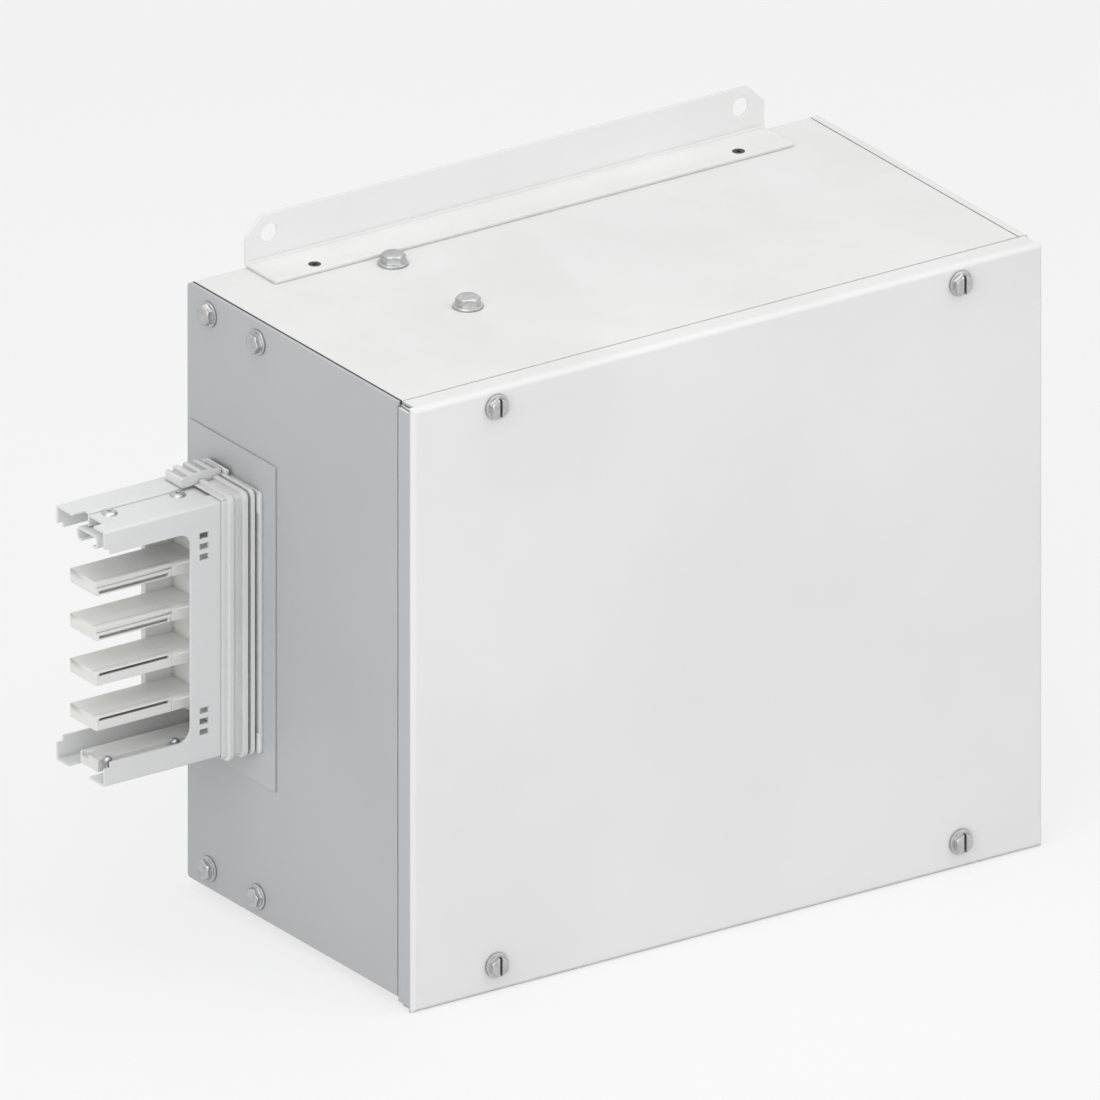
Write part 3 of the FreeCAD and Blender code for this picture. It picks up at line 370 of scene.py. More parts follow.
# %% Plastics
def moulded(name, colour, gloss=0.48, dusty=0.15):
    """Plastic with a fine grain, which is polished and paler at its edges."""
    made, tree, skin = start_material(name)
    place = object_place(tree)
    body = mixed(between(noise(place, 12.0, 3.0), 0.35, 0.7), colour, tuple(c * 0.94 for c in colour))
    edge = effect(tree, wear, Reach=0.7 * mm, Patch_Scale=500.0, Amount=0.6)
    settled = effect(tree, dust, Amount=dusty, Drift_Scale=60.0)
    smear = effect(tree, marks, Smear_Scale=25.0, Amount=0.5)
    body = mixed(edge * 0.25, body, tuple(min(1.0, c * 1.1) for c in colour))
    body = mixed(settled, body, DUST)
    body = mixed(smear * 0.15, body, tuple(c * 0.75 for c in colour))
    # Painted shade: an ambient occlusion mask darkens seams and inner corners, flecked like grime.
    shade_and_grime = effect(tree, crevice_shade_and_dirt, Amount=0.45)
    feed(skin.inputs["Base Color"], mixed(shade_and_grime, body, SHADE_AND_GRIME))
    feed(skin.inputs["Roughness"], settled * 0.5 + smear * 0.15 - edge * 0.15 + gloss)
    relief(skin, effect(tree, grain, Hill_Scale=1500.0, Grit_Scale=4200.0, Grit=0.4), 0.025 * mm, 0.6)
    return made


finger_plastic = moulded("finger plastic", (0.84, 0.84, 0.815))
collar_plastic = moulded("collar plastic", (0.78, 0.785, 0.78), gloss=0.52)
inner_plastic = moulded("insulator plastic", (0.78, 0.765, 0.7), gloss=0.55, dusty=0.1)


def rubber_material():
    """Nearly black cellular rubber, which dust turns grey."""
    made, tree, skin = start_material("black rubber")
    place = object_place(tree)
    cells = out(add(tree, "ShaderNodeTexVoronoi", {"Vector": place, "Scale": 1600.0}), "Distance")
    body = mixed(between(noise(place, 40.0, 3.0), 0.4, 0.7), (0.022, 0.022, 0.024), (0.045, 0.045, 0.046))
    settled = effect(tree, dust, Amount=0.18, Drift_Scale=50.0)
    feed(skin.inputs["Base Color"], mixed(settled, body, (0.28, 0.27, 0.26)))
    feed(skin.inputs["Roughness"], settled * 0.3 + cells * 0.2 + 0.62)
    relief(skin, cells, 0.12 * mm, 0.6)
    return made


black_rubber = rubber_material()
print("moulded:", finger_plastic.name, collar_plastic.name, inner_plastic.name, black_rubber.name)

# %% [markdown]
# ## Bare and plated metal
# Screws are zinc plated: pale, a little blue, with turning rings on the head and a tone that differs
# from screw to screw. The inner frame is galvanised sheet with its frosty crystals. The bars are
# drawn copper, the gland plate is brushed aluminium, and the bracket's two flush rivets are blackened.


# %% Metals
def metal(name, colour, gloss, lines=(1.0, 1.0, 1.0)):
    """A metal with darker and duller patches. Its lines run along the axis where their stretch is small."""
    made, tree, skin = start_material(name)
    place = object_place(tree)
    stain = between(noise(place, 35.0, 4.0, 0.6), 0.45, 0.75)
    edge = effect(tree, wear, Reach=0.6 * mm, Patch_Scale=600.0, Amount=0.7)
    body = mixed(stain * 0.25, colour, tuple(c * 0.72 for c in colour))
    body = mixed(edge * 0.5, body, tuple(min(1.0, c * 1.2) for c in colour))
    settled = effect(tree, dust, Amount=0.1, Drift_Scale=70.0)
    feed(skin.inputs["Base Color"], mixed(settled, body, DUST))
    skin.inputs["Metallic"].default_value = 1.0
    streaks = effect(tree, brushed, Stretch=lines)
    feed(skin.inputs["Roughness"], streaks * 0.16 + stain * 0.06 + settled + gloss)
    relief(skin, streaks, 0.01 * mm, 0.7)
    return made


def galvanised_material():
    """Zinc that froze in crystals, each with a tone and a gloss of its own."""
    made, tree, skin = start_material("galvanised sheet")
    place = object_place(tree)
    crystal = out(add(tree, "ShaderNodeTexVoronoi", {"Vector": place, "Scale": 130.0}), "Color")
    tone = out(add(tree, "ShaderNodeSeparateXYZ", {0: crystal}), "X")
    fine = noise(place, 900.0, 2.0)
    body = mixed(tone, (0.6, 0.615, 0.63), (0.74, 0.75, 0.76))
    edge = effect(tree, wear, Reach=0.6 * mm, Patch_Scale=600.0, Amount=0.6)
    feed(skin.inputs["Base Color"], mixed(edge * 0.5, body, (0.85, 0.86, 0.87)))
    skin.inputs["Metallic"].default_value = 1.0
    feed(skin.inputs["Roughness"], tone * 0.16 + fine * 0.1 + 0.34)
    relief(skin, fine, 0.012 * mm, 0.5)
    return made


def screw_material():
    """Zinc plate, with turning rings round each fastener's own axis and a tone of its own."""
    made, tree, skin = start_material("zinc plate")
    turned = out(add(tree, "ShaderNodeAttribute", attribute_name="turned"), "Vector")
    flat = stretched(turned, (1.0, 1.0, 0.0))
    ring = Wire(add(tree, "ShaderNodeVectorMath", {0: flat}, operation="LENGTH").outputs["Value"])
    rings = out(add(tree, "ShaderNodeTexNoise", {"W": ring, "Scale": 5200.0, "Detail": 1.0},
                    noise_dimensions="1D"), "Fac")
    batch = out(add(tree, "ShaderNodeAttribute", attribute_name="batch"), "Fac")
    cloud = between(noise(object_place(tree), 260.0, 3.0, 0.6), 0.35, 0.75)
    body = mixed(batch, (0.46, 0.48, 0.5), (0.56, 0.56, 0.55))
    body = mixed(cloud * 0.5, body, (0.3, 0.31, 0.33))
    edge = effect(tree, wear, Reach=0.35 * mm, Patch_Scale=900.0, Amount=0.8)
    body = mixed(edge * 0.6, body, (0.8, 0.81, 0.82))
    settled = effect(tree, dust, Amount=0.1, Drift_Scale=90.0)
    # Painted shade: an ambient occlusion mask darkens the zinc round and under each head, flecked like
    # grime.
    body = mixed(effect(tree, crevice_shade_and_dirt, Reach=2.5 * mm, Amount=0.7), body, SHADE_AND_GRIME)
    feed(skin.inputs["Base Color"], mixed(settled, body, DUST))
    skin.inputs["Metallic"].default_value = 1.0
    feed(skin.inputs["Roughness"], cloud * 0.16 + rings * 0.12 + settled + 0.22)
    relief(skin, rings, 0.012 * mm, 0.6)
    return made


galvanised = galvanised_material()
zinc_plate = screw_material()
copper = metal("drawn copper", (0.74, 0.4, 0.26), 0.24, lines=(0.02, 1.0, 1.0))
aluminium = metal("brushed aluminium", (0.76, 0.77, 0.78), 0.26, lines=(1.0, 1.0, 0.02))
dark_steel = metal("blackened steel", (0.05, 0.05, 0.055), 0.36)
print("metals:", galvanised.name, zinc_plate.name, copper.name, aluminium.name, dark_steel.name)


# %% Clear guard
# Clear sheet needs a plain transmission, with only its scratches changing the gloss.
def clear_material():
    """Clear plastic sheet with long faint scratches."""
    made, tree, skin = start_material("clear sheet")
    scratch = noise(stretched(object_place(tree), (1.0, 1.0, 0.08)), 900.0, 2.0)
    skin.inputs["Base Color"].default_value = (0.93, 0.96, 0.97, 1.0)
    skin.inputs["Transmission Weight"].default_value = 1.0
    skin.inputs["IOR"].default_value = 1.58
    feed(skin.inputs["Roughness"], between(scratch, 0.6, 0.8) * 0.25 + 0.03)
    return made


clear_sheet = clear_material()
finish_of = {"white_paint": white_paint, "grey_paint": grey_paint, "surround_paint": surround_paint,
             "frame_zinc": galvanised, "black_rubber": black_rubber, "zinc_screw": zinc_plate,
             "casing_sheet": casing_paint, "finger_plastic": finger_plastic,
             "collar_plastic": collar_plastic, "inner_plastic": inner_plastic, "copper_bar": copper,
             "clear_sheet": clear_sheet, "gland_aluminium": aluminium}
print(len(finish_of), "finishes for the record's slots")

# %% [markdown]
# ## Softened edges
# Sheared sheet and moulded plastic never have the perfectly sharp edges of a drawing. Their edges are
# broken by a fraction of a millimetre, and that thin strip is what catches the light. The shapes
# themselves are right, so each piece is a copy of the frame's mesh: its loose triangles are merged,
# the flat ones joined, and its sharp edges get a narrow bevel. Edges that run close side by side,
# such as those of a scored line, have no room for one and stay sharp. A bevel that is too wide for
# some corner folds over, so the helper tries narrower ones until none does.


# %% A merged copy of the frame's mesh
FLAT = math.radians(0.5)
TOUCHING = 0.001 * mm


def merged(node):
    """The frame's mesh of a node with its triangles joined."""
    mesh = bmesh.new()
    mesh.from_mesh(nodes[node].data)
    bmesh.ops.remove_doubles(mesh, verts=mesh.verts, dist=TOUCHING)
    bmesh.ops.dissolve_limit(mesh, angle_limit=FLAT, verts=mesh.verts, edges=mesh.edges)
    return mesh


# %% Does a mesh fold over
# Triangles smaller than a speck, in square metres, are too small to be seen.
FOLDED = math.radians(100)
SPECK = 2e-8


def folds(mesh):
    """How many edges turn back on themselves, and how many triangles of its faces turn over."""
    bent = sum(1 for edge in mesh.edges if not edge.is_manifold or edge.calc_face_angle() > FOLDED)
    split = mesh.copy()
    source = split.faces.layers.float_vector.new("source")
    for face in split.faces:
        face[source] = face.normal
    bmesh.ops.triangulate(split, faces=[face for face in split.faces if len(face.verts) > 4],
                          ngon_method="EAR_CLIP")
    split.normal_update()
    turned_over = [face for face in split.faces if face.normal.dot(face[source]) < 0.0]
    count = sum(1 for face in turned_over if face.calc_area() > SPECK)
    split.free()
    return bent + count


# %% Room for a bevel
# Another edge is close when it is nearer than this many bevel widths, and beside when the gap
# between the two leans along neither of them by more than this share.
CLOSE = 2.2
LEANING = 0.5


def roomy(edges, others, width):
    """The edges that have room for a bevel, because none of the others runs close beside them."""
    ends = np.array([[vertex.co[:] for vertex in edge.verts] for edge in others])
    start, along = ends[:, 0], ends[:, 1] - ends[:, 0]
    length = np.linalg.norm(along, axis=1)
    unit = along / length[:, None]
    crowded = np.zeros(len(others), bool)
    for place in range(len(others)):
        for tip in ends[place]:
            share = np.clip(((tip - start) * unit).sum(axis=1), 0.0, length)
            gap = start + unit * share[:, None] - tip
            far = np.linalg.norm(gap, axis=1)
            slant = np.maximum(abs((gap * unit).sum(axis=1)), abs(gap @ unit[place]))
            beside = (slant < LEANING * far) & (far < CLOSE * width)
            crowded[place] |= beside.any()
            crowded |= beside
    narrow = {edge for edge, tight in zip(others, crowded) if tight}
    return [edge for edge in edges if edge not in narrow]


# %% Softened copies
# Each share of the wanted width is tried in turn, with less and less of a bevel.
SHARP = math.radians(28)
SHARES = (1.0, 0.75, 0.5, 0.35, 0.2, 0.1)


def extent(mesh):
    """The lowest and highest X, Y and Z of a mesh."""
    return [side(v.co[axis] for v in mesh.verts) for side in (min, max) for axis in range(3)]


def softened(node, width):
    """A copy of a node's mesh with its sharp edges bevelled, as wide as it can be without a fold."""
    for share in SHARES:
        for careful in (False, True):
            mesh = merged(node)
            before = folds(mesh), extent(mesh)
            sharp = [edge for edge in mesh.edges if edge.is_manifold and edge.calc_face_angle() > SHARP]
            chosen = roomy(sharp, list(mesh.edges) if careful else sharp, width * share)
            bmesh.ops.bevel(mesh, geom=chosen, offset=width * share, offset_type="OFFSET", segments=2,
                            profile=0.5, affect="EDGES", clamp_overlap=False)
            grown = max(abs(a - b) for a, b in zip(before[1], extent(mesh)))
            if folds(mesh) <= before[0] and grown < TOUCHING:
                return mesh, width * share
            mesh.free()
    return merged(node), 0.0


# %% Finished pieces
CREASE = math.radians(60)


def make_object(name, mesh, finish):
    """An object from an edit mesh, with one finish."""
    data = bpy.data.meshes.new(name)
    mesh.to_mesh(data)
    mesh.free()
    data.materials.append(finish)
    made = bpy.data.objects.new(name, data)
    bpy.context.scene.collection.objects.link(made)
    return made


def plain(made):
    """Replace a piece's mesh by its evaluated one and drop the modifiers."""
    seen = made.evaluated_get(bpy.context.evaluated_depsgraph_get())
    made.data = bpy.data.meshes.new_from_object(seen)
    made.modifiers.clear()


def settle(made, node):
    """Put a finished piece on the body that its node rides on, and hide the node."""
    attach(made, body_of[node])
    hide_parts(node)


def dress(node, width, finish=None):
    """Softened copy of a node, with flat faces kept flat by weighted normals."""
    mesh, used = softened(node, width)
    made = make_object(node + "_piece", mesh, finish or finish_of[slot_of[node]])
    made.data.shade_smooth()
    made.data.set_sharp_from_angle(angle=CREASE)
    weigh = made.modifiers.new("weigh", "WEIGHTED_NORMAL")
    weigh.mode = "FACE_AREA"
    weigh.weight = 100
    weigh.keep_sharp = True
    plain(made)
    settle(made, node)
    return used


# %% Sheet metal, plastics, seals and bars
sheet_edge = 0.3 * mm
widths = {
    "front_cover": sheet_edge, "rear_shell": sheet_edge, "left_end_plate": sheet_edge,
    "right_end_plate": sheet_edge, "mounting_bracket": sheet_edge, "front_frame": sheet_edge,
    "surround_plate": 0.2 * mm, "stub_rear_shell": sheet_edge, "stub_front_shell": sheet_edge,
    "stub_top_rail": sheet_edge, "terminal_hanger": sheet_edge, "gland_plate": sheet_edge,
    "left_plate_gasket": 0.25 * mm, "right_plate_gasket": 0.4 * mm, "cover_gasket": 0.5 * mm,
    "gland_gasket": 0.3 * mm, "finger_block": 0.4 * mm, "collar": 0.45 * mm, "thumb_latch": 0.35 * mm,
    "stub_bottom_block": 0.35 * mm, "entry_comb": 0.6 * mm, "terminal_comb": 0.6 * mm,
    "terminal_shield": sheet_edge, "earth_bar": 0.5 * mm}
for number in range(1, 5):
    widths["finger_" + str(number)] = 0.35 * mm
    widths["conductor_bar_" + str(number)] = 0.8 * mm
for node, width in widths.items():
    used = dress(node, width, cover_paint if node == "front_cover" else None)
    if used < width:
        print(node, "takes an edge of", round(used / mm, 2), "mm")
print(len(widths), "softened pieces")

# %% [markdown]
# ## Turned shapes
# Screws, nuts, washers and rivets are all turned on a lathe, so one idea makes them: a grid whose
# columns are wrapped round an axis and whose rows follow a profile. A hexagon is the same grid with
# its radius held back to six flats, which also gives the curved corners of a chamfered head.
# Each kind of fastener is a Geometry Nodes tree with its sizes as named inputs.


# %% A lathe in nodes
def turned(tree, steps, rows, shape):
    """Wrap a grid round Z. The shape function takes the angle and the row, and gives radius and height."""
    grid = add(tree, "GeometryNodeMeshGrid", {"Size X": 1.0, "Size Y": 1.0, "Vertices X": steps + 1,
                                              "Vertices Y": rows})
    apart = add(tree, "ShaderNodeSeparateXYZ", {0: out(add(tree, "GeometryNodeInputPosition"))})
    angle = (out(apart, "X") + 0.5) * (2 * math.pi)
    # A plain number of rows becomes a wire too, so that the sums below hold for both kinds.
    last = (rows if isinstance(rows, Wire) else out(add(tree, "ShaderNodeValue")) * 0.0 + rows) - 1.0
    row = ((out(apart, "Y") + 0.5) * last + 0.5).math("FLOOR")
    radius, height = shape(angle, row)
    place = add(tree, "ShaderNodeCombineXYZ", {"X": angle.math("COSINE") * radius,
                                               "Y": angle.math("SINE") * radius, "Z": height})
    wrapped = add(tree, "GeometryNodeSetPosition", {"Geometry": out(grid), "Position": out(place)})
    return out(add(tree, "GeometryNodeMergeByDistance", {"Geometry": out(wrapped), "Distance": TOUCHING}))


def picked(tree, row, values):
    """One value for each row of the grid."""
    switch = add(tree, "GeometryNodeIndexSwitch", data_type="FLOAT")
    for _ in range(len(values) - 2):
        switch.index_switch_items.new()
    feed(switch.inputs["Index"], row)
    for place, value in enumerate(values):
        feed(switch.inputs[str(place)], value)
    return out(switch)


def profile(tree, steps, pairs):
    """A turned shape from a function of the angle that lists (radius, height) pairs."""
    def shape(angle, row):
        both = list(zip(*pairs(angle)))
        return picked(tree, row, both[0]), picked(tree, row, both[1])

    # The list is as long for any angle, so it is counted with an angle of no meaning.
    count = len(pairs(out(add(tree, "ShaderNodeValue"))))
    return turned(tree, steps, count, shape)


def flats(tree, angle, across):
    """Distance from the axis to a hexagon's side. A round piece has an across of 0 and no side."""
    wrapped = angle.math("WRAP", math.pi / 6, -math.pi / 6)
    return across * 0.5 / wrapped.math("COSINE") + (across.over(mm) * -1.0 + 1.0)


# %% Spread over the places
def scatter(tree, pin, shape):
    """Put a shape on every place, turned at random about its own axis, and give it its finish."""
    own = out(add(tree, "GeometryNodeInputPosition"))
    shape = out(add(tree, "GeometryNodeStoreNamedAttribute", {"Geometry": shape, "Name": "turned",
                                                              "Value": own}, data_type="FLOAT_VECTOR"))
    swing = add(tree, "FunctionNodeRandomValue", {2: pin["Scatter"] * -1.0, 3: pin["Scatter"],
                                                  "Seed": 7}, data_type="FLOAT")
    about = add(tree, "FunctionNodeAxisAngleToRotation", {"Axis": (0.0, 0.0, 1.0),
                                                          "Angle": pin["Turn"] + Wire(swing.outputs[1])})
    aim = add(tree, "FunctionNodeEulerToRotation", {"Euler": pin["Aim"]})
    both = add(tree, "FunctionNodeRotateRotation", {"Rotation": out(aim), "Rotate By": out(about)},
               rotation_space="LOCAL")
    copies = add(tree, "GeometryNodeInstanceOnPoints", {"Points": pin["Places"], "Instance": shape,
                                                        "Rotation": out(both)})
    tone = add(tree, "FunctionNodeRandomValue", {2: 0.0, 3: 1.0, "Seed": 3}, data_type="FLOAT")
    toned = add(tree, "GeometryNodeStoreNamedAttribute",
                {"Geometry": out(copies), "Name": "batch", "Value": Wire(tone.outputs[1])},
                data_type="FLOAT", domain="INSTANCE")
    real = add(tree, "GeometryNodeRealizeInstances", {"Geometry": out(toned)})
    return out(add(tree, "GeometryNodeSetMaterial", {"Geometry": out(real), "Material": pin["Finish"]}))


COMMON = {"Places": (SHAPE, None), "Aim": (VECTOR, (0.0, 0.0, 0.0)), "Turn": (NUMBER, 0.0),
          "Scatter": (NUMBER, 0.0), "Finish": ("NodeSocketMaterial", None)}
ROUND = 48
NO_SIZE = 0.1 * mm
WASHER_FACE = 0.4 * mm
RIVET_LIP = 0.2 * mm


# %% Rolled thread
def thread(tree, pin):
    """A rolled thread: the radius rises and falls once a pitch, and the wave climbs with the angle."""
    depth = pin["Pitch"] * 0.6
    rows = (pin["Length"] / pin["Pitch"] * 6.0).math("FLOOR") + 3.0

    def shape(angle, row):
        down = row / (rows - 1.0)
        height = down * pin["Length"] * -1.0
        wave = (height / pin["Pitch"] + angle / (2 * math.pi)).math("PINGPONG", 0.5) * 2.0
        radius = pin["Thread Radius"] - wave * depth
        tip = pin["Thread Radius"] - pin["Pitch"] * 0.9 + (height + pin["Length"])
        inside = row.over(0.5) * (rows - 1.0 - row).over(0.5)
        return radius.least(tip) * inside, height

    return turned(tree, ROUND // 2, rows, shape)


# %% Hexagon screw
def screw_tree():
    """Head, flange or washer face, slot and a rolled thread."""
    tree, pin = new_group("Hexagon screw", "GeometryNodeTree", {
        **COMMON, "Across Flats": (NUMBER, 10 * mm), "Head Height": (NUMBER, 4.6 * mm),
        "Flange Radius": (NUMBER, 0.0), "Flange Thickness": (NUMBER, 0.0),
        "Slot Width": (NUMBER, 1.6 * mm), "Slot Depth": (NUMBER, 0.0),
        "Thread Radius": (NUMBER, 3 * mm), "Length": (NUMBER, 14 * mm), "Pitch": (NUMBER, mm)},
        {"Shape": SHAPE})
    top = pin["Head Height"]
    half = pin["Across Flats"] * 0.5
    corner = half * (2 / math.sqrt(3))
    crown = half * 0.92
    base = pin["Flange Thickness"].most(WASHER_FACE)
    rim = pin["Flange Radius"].most(half * 0.95)
    soft = base * 0.35

    def head(angle):
        side = flats(tree, angle, pin["Across Flats"])
        rows = [(0.0, top), (crown * 0.5, top)]
        for share in (0.0, 0.2, 0.4, 0.6, 0.8, 1.0):
            rows.append(((corner - crown) * share + crown, top - (corner - crown) * 0.6 * share))
        rows.append((corner, base + soft))
        rows = [(0.0 if radius == 0.0 else radius.least(side), height) for radius, height in rows]
        rows.append((corner.least(side) + soft * 0.6, base))
        rows.append((rim - soft, base * 0.9))
        rows.append((rim - soft * 0.3, base * 0.9 - soft * 0.3))
        rows.append((rim, base * 0.9 - soft))
        rows.append((rim, soft * 0.5))
        rows.append((rim - soft * 0.5, soft * 0.0))
        rows.append((0.0, soft * 0.0))
        return rows

    body = profile(tree, ROUND, head)
    cutter = add(tree, "ShaderNodeCombineXYZ", {"X": pin["Slot Width"], "Y": half * 4.0,
                                                "Z": pin["Slot Depth"] * 2.0})
    slot = add(tree, "GeometryNodeMeshCube", {"Size": out(cutter)})
    raised = add(tree, "ShaderNodeCombineXYZ", {"Z": top})
    slot = add(tree, "GeometryNodeTransform", {"Geometry": out(slot), "Translation": out(raised)})
    cut = add(tree, "GeometryNodeMeshBoolean", {"Mesh 1": body, "Mesh 2": out(slot)},
              operation="DIFFERENCE", solver="EXACT")
    body = add(tree, "GeometryNodeSwitch", {"Switch": pin["Slot Depth"].over(NO_SIZE), "False": body,
                                            "True": out(cut)}, input_type="GEOMETRY")
    whole = add(tree, "GeometryNodeJoinGeometry", {0: out(body)})
    feed(whole.inputs[0], thread(tree, pin))
    return close_group(tree, {"Shape": scatter(tree, pin, out(whole))})


hexagon_screw = screw_tree()


# %% Nut and washer
def nut_tree():
    """A ring with softened rims. With flats it is a nut, and without any it is a washer."""
    tree, pin = new_group("Nut", "GeometryNodeTree", {
        **COMMON, "Across Flats": (NUMBER, 0.0), "Outer Radius": (NUMBER, 6 * mm),
        "Bore Radius": (NUMBER, 3 * mm), "Height": (NUMBER, 5 * mm), "Rim": (NUMBER, 0.5 * mm)},
        {"Shape": SHAPE})
    outer = pin["Outer Radius"]
    bore = pin["Bore Radius"]
    height = pin["Height"]
    rim = pin["Rim"]

    def ring(angle):
        side = flats(tree, angle, pin["Across Flats"])
        rows = [(bore, rim), (bore + rim, rim * 0.0)]
        for share in (1.5, 0.75, 0.0):
            rows.append(((outer - rim * share).least(side), rim * (1 - share / 1.5) * 0.9))
        for share in (0.0, 0.75, 1.5):
            rows.append(((outer - rim * share).least(side), height - rim * (1 - share / 1.5) * 0.9))
        return rows + [(bore + rim, height), (bore, height - rim), (bore, rim)]

    return close_group(tree, {"Shape": scatter(tree, pin, profile(tree, ROUND, ring))})


nut = nut_tree()


# %% Rivet
def rivet_tree():
    """A blind rivet: domed or flush head with the hole that its pin leaves, shank and closed tail."""
    tree, pin = new_group("Rivet", "GeometryNodeTree", {
        **COMMON, "Head Radius": (NUMBER, 4.2 * mm), "Head Rise": (NUMBER, 1.6 * mm),
        "Sink": (NUMBER, 0.0), "Hole Radius": (NUMBER, 1.2 * mm), "Shank Radius": (NUMBER, 2 * mm),
        "Length": (NUMBER, 9 * mm), "Tail Radius": (NUMBER, 3 * mm), "Tail Length": (NUMBER, 1.5 * mm)},
        {"Shape": SHAPE})
    head = pin["Head Radius"]
    rise = pin["Head Rise"]
    hole = pin["Hole Radius"]
    pit = rise - hole * 0.9

    def rows(angle):
        pairs = [(0.0, pit + hole * 0.25), (hole * 0.8, pit + hole * 0.1)]
        pairs += [(hole, pit), (hole, rise - hole * 0.25)]
        for share in (0.0, 0.35, 0.6, 0.8, 0.93, 1.0):
            dome = math.sqrt(1 - share ** 2)
            pairs.append(((head - hole * 1.2) * share + hole * 1.2, rise * dome))
        end = pin["Length"] * -1.0
        tail = end - pin["Tail Length"]
        pairs.append((head - pin["Sink"].over(NO_SIZE) * RIVET_LIP, pin["Sink"] * -0.05))
        pairs.append((pin["Shank Radius"], pin["Sink"] * -1.0))
        pairs.append((pin["Shank Radius"], end))
        pairs.append((pin["Tail Radius"], end))
        pairs.append((pin["Tail Radius"], tail + pin["Tail Length"] * 0.4))
        pairs.append((pin["Tail Radius"] * 0.8, tail))
        return pairs + [(0.0, tail)]

    return close_group(tree, {"Shape": scatter(tree, pin, profile(tree, ROUND, rows))})


rivet = rivet_tree()

# %% [markdown]
# ## Fasteners in their places
# The frame says where each fastener sits, because each one is a loose part of its node's mesh. The
# script finds those parts, takes the middle of each and the face that the head or nut bears on, and
# runs the right tree on that cloud of places.


# %% Places of the loose parts of a node
def loose_parts(node):
    """Lowest and highest corner of each loose part of a node."""
    mesh = merged(node)
    left = set(mesh.verts)
    found = []
    while left:
        reach = [left.pop()]
        part = []
        while reach:
            vertex = reach.pop()
            part.append(vertex.co.copy())
            for edge in vertex.link_edges:
                other = edge.other_vert(vertex)
                if other in left:
                    left.remove(other)
                    reach.append(other)
        found.append([Vector([side(co[axis] for co in part) for axis in range(3)]) for side in (min, max)])
    mesh.free()
    return sorted(found, key=lambda box: tuple(round(v, 5) for v in box[0]))


FASTENER_CREASE = math.radians(32)
AIMS = {"up": (0.0, 0.0, 0.0), "down": (math.pi, 0.0, 0.0), "front": (math.pi / 2, 0.0, 0.0),
        "left": (0.0, -math.pi / 2, 0.0), "right": (0.0, math.pi / 2, 0.0)}
AXES = {"up": (2, 1), "down": (2, -1), "front": (1, -1), "left": (0, -1), "right": (0, 1)}


def seats(node, aim, from_top):
    """The middle of each loose part, at a distance below its outer end."""
    axis, sign = AXES[aim]
    places = []
    for low, high in loose_parts(node):
        place = (low + high) / 2
        place[axis] = (high if sign > 0 else low)[axis] - sign * from_top
        places.append(place)
    return places


def run_tree(tree, node, aim, from_top, values, finish=None):
    """Run a fastener tree on the seats of a node, and keep the result as a plain mesh."""
    places = seats(node, aim, from_top)
    cloud = bpy.data.meshes.new(node + "_places")
    cloud.from_pydata(places, [], [])
    made = bpy.data.objects.new(node + "_piece", cloud)
    bpy.context.scene.collection.objects.link(made)
    run = made.modifiers.new("fasteners", "NODES")
    run.node_group = tree
    sockets = {item.name: item.identifier for item in tree.interface.items_tree if item.in_out == "INPUT"}
    fixed = {"Turn": 0.0, "Aim": AIMS[aim], "Finish": finish or zinc_plate}
    for label, value in {**values, **fixed}.items():
        run[sockets[label]] = value
    plain(made)
    mesh = bmesh.new()
    mesh.from_mesh(made.data)
    bmesh.ops.recalc_face_normals(mesh, faces=mesh.faces)
    mesh.to_mesh(made.data)
    mesh.free()
    made.data.shade_smooth()
    made.data.set_sharp_from_angle(angle=FASTENER_CREASE)
    settle(made, node)
    print(node + ":", len(places), "in one piece with", len(made.data.polygons), "faces")


# %% Screws
def screw_sizes(flats_mm, head_mm, flange_mm, thick_mm, thread_mm, length_mm, pitch_mm, slot_mm=0.0):
    """A screw's sizes in millimetres, as the tree's inputs in metres."""
    return {"Across Flats": flats_mm * mm, "Head Height": head_mm * mm, "Flange Radius": flange_mm * mm,
            "Flange Thickness": thick_mm * mm, "Thread Radius": thread_mm * mm, "Length": length_mm * mm,
            "Pitch": pitch_mm * mm, "Slot Depth": slot_mm * mm}


def put_screws(node, aim, sizes, scatter_angle=0.5):
    """Hexagon screws on a node's places, each turned at random by up to an angle."""
    run_tree(hexagon_screw, node, aim, sizes["Head Height"], {**sizes, "Scatter": scatter_angle})


cover_sizes = screw_sizes(10.0, 4.6, 7.0, 1.4, 3.0, 20.0, 1.0, slot_mm=1.9)
for number in range(1, 5):
    put_screws("cover_screw_" + str(number), "front", cover_sizes, scatter_angle=0.0)
for side in ("left", "right"):
    put_screws(side + "_plate_screws", side, screw_sizes(10.0, 4.6, 7.0, 1.4, 3.0, 14.0, 1.0))
put_screws("top_bolts", "up", screw_sizes(11.8, 6.0, 8.2, 1.7, 4.0, 16.0, 1.25), scatter_angle=0.1)
put_screws("terminal_bolts", "down", screw_sizes(13.0, 5.3, 0.0, 0.0, 4.0, 14.7, 1.25))
put_screws("comb_screws", "right", screw_sizes(8.0, 3.2, 5.0, 0.9, 2.5, 9.6, 0.8))
put_screws("shield_screws", "right", screw_sizes(8.0, 3.2, 5.0, 0.9, 2.5, 7.0, 0.8))
put_screws("earth_screws", "front", screw_sizes(8.0, 3.2, 5.0, 0.9, 2.5, 7.0, 0.8))
put_screws("gland_screws", "right", screw_sizes(8.0, 3.2, 5.0, 0.9, 2.5, 8.5, 0.8))


# %% Nuts, washers and retainers
def ring_sizes(outer_mm, bore_mm, height_mm, rim_mm, flats_mm=0.0):
    """A nut's or washer's sizes in millimetres, as the tree's inputs in metres."""
    return {"Across Flats": flats_mm * mm, "Outer Radius": outer_mm * mm, "Bore Radius": bore_mm * mm,
            "Height": height_mm * mm, "Rim": rim_mm * mm}


def put_rings(node, aim, sizes):
    """Nuts or washers on a node's places."""
    run_tree(nut, node, aim, sizes["Height"], {**sizes, "Scatter": 0.5})


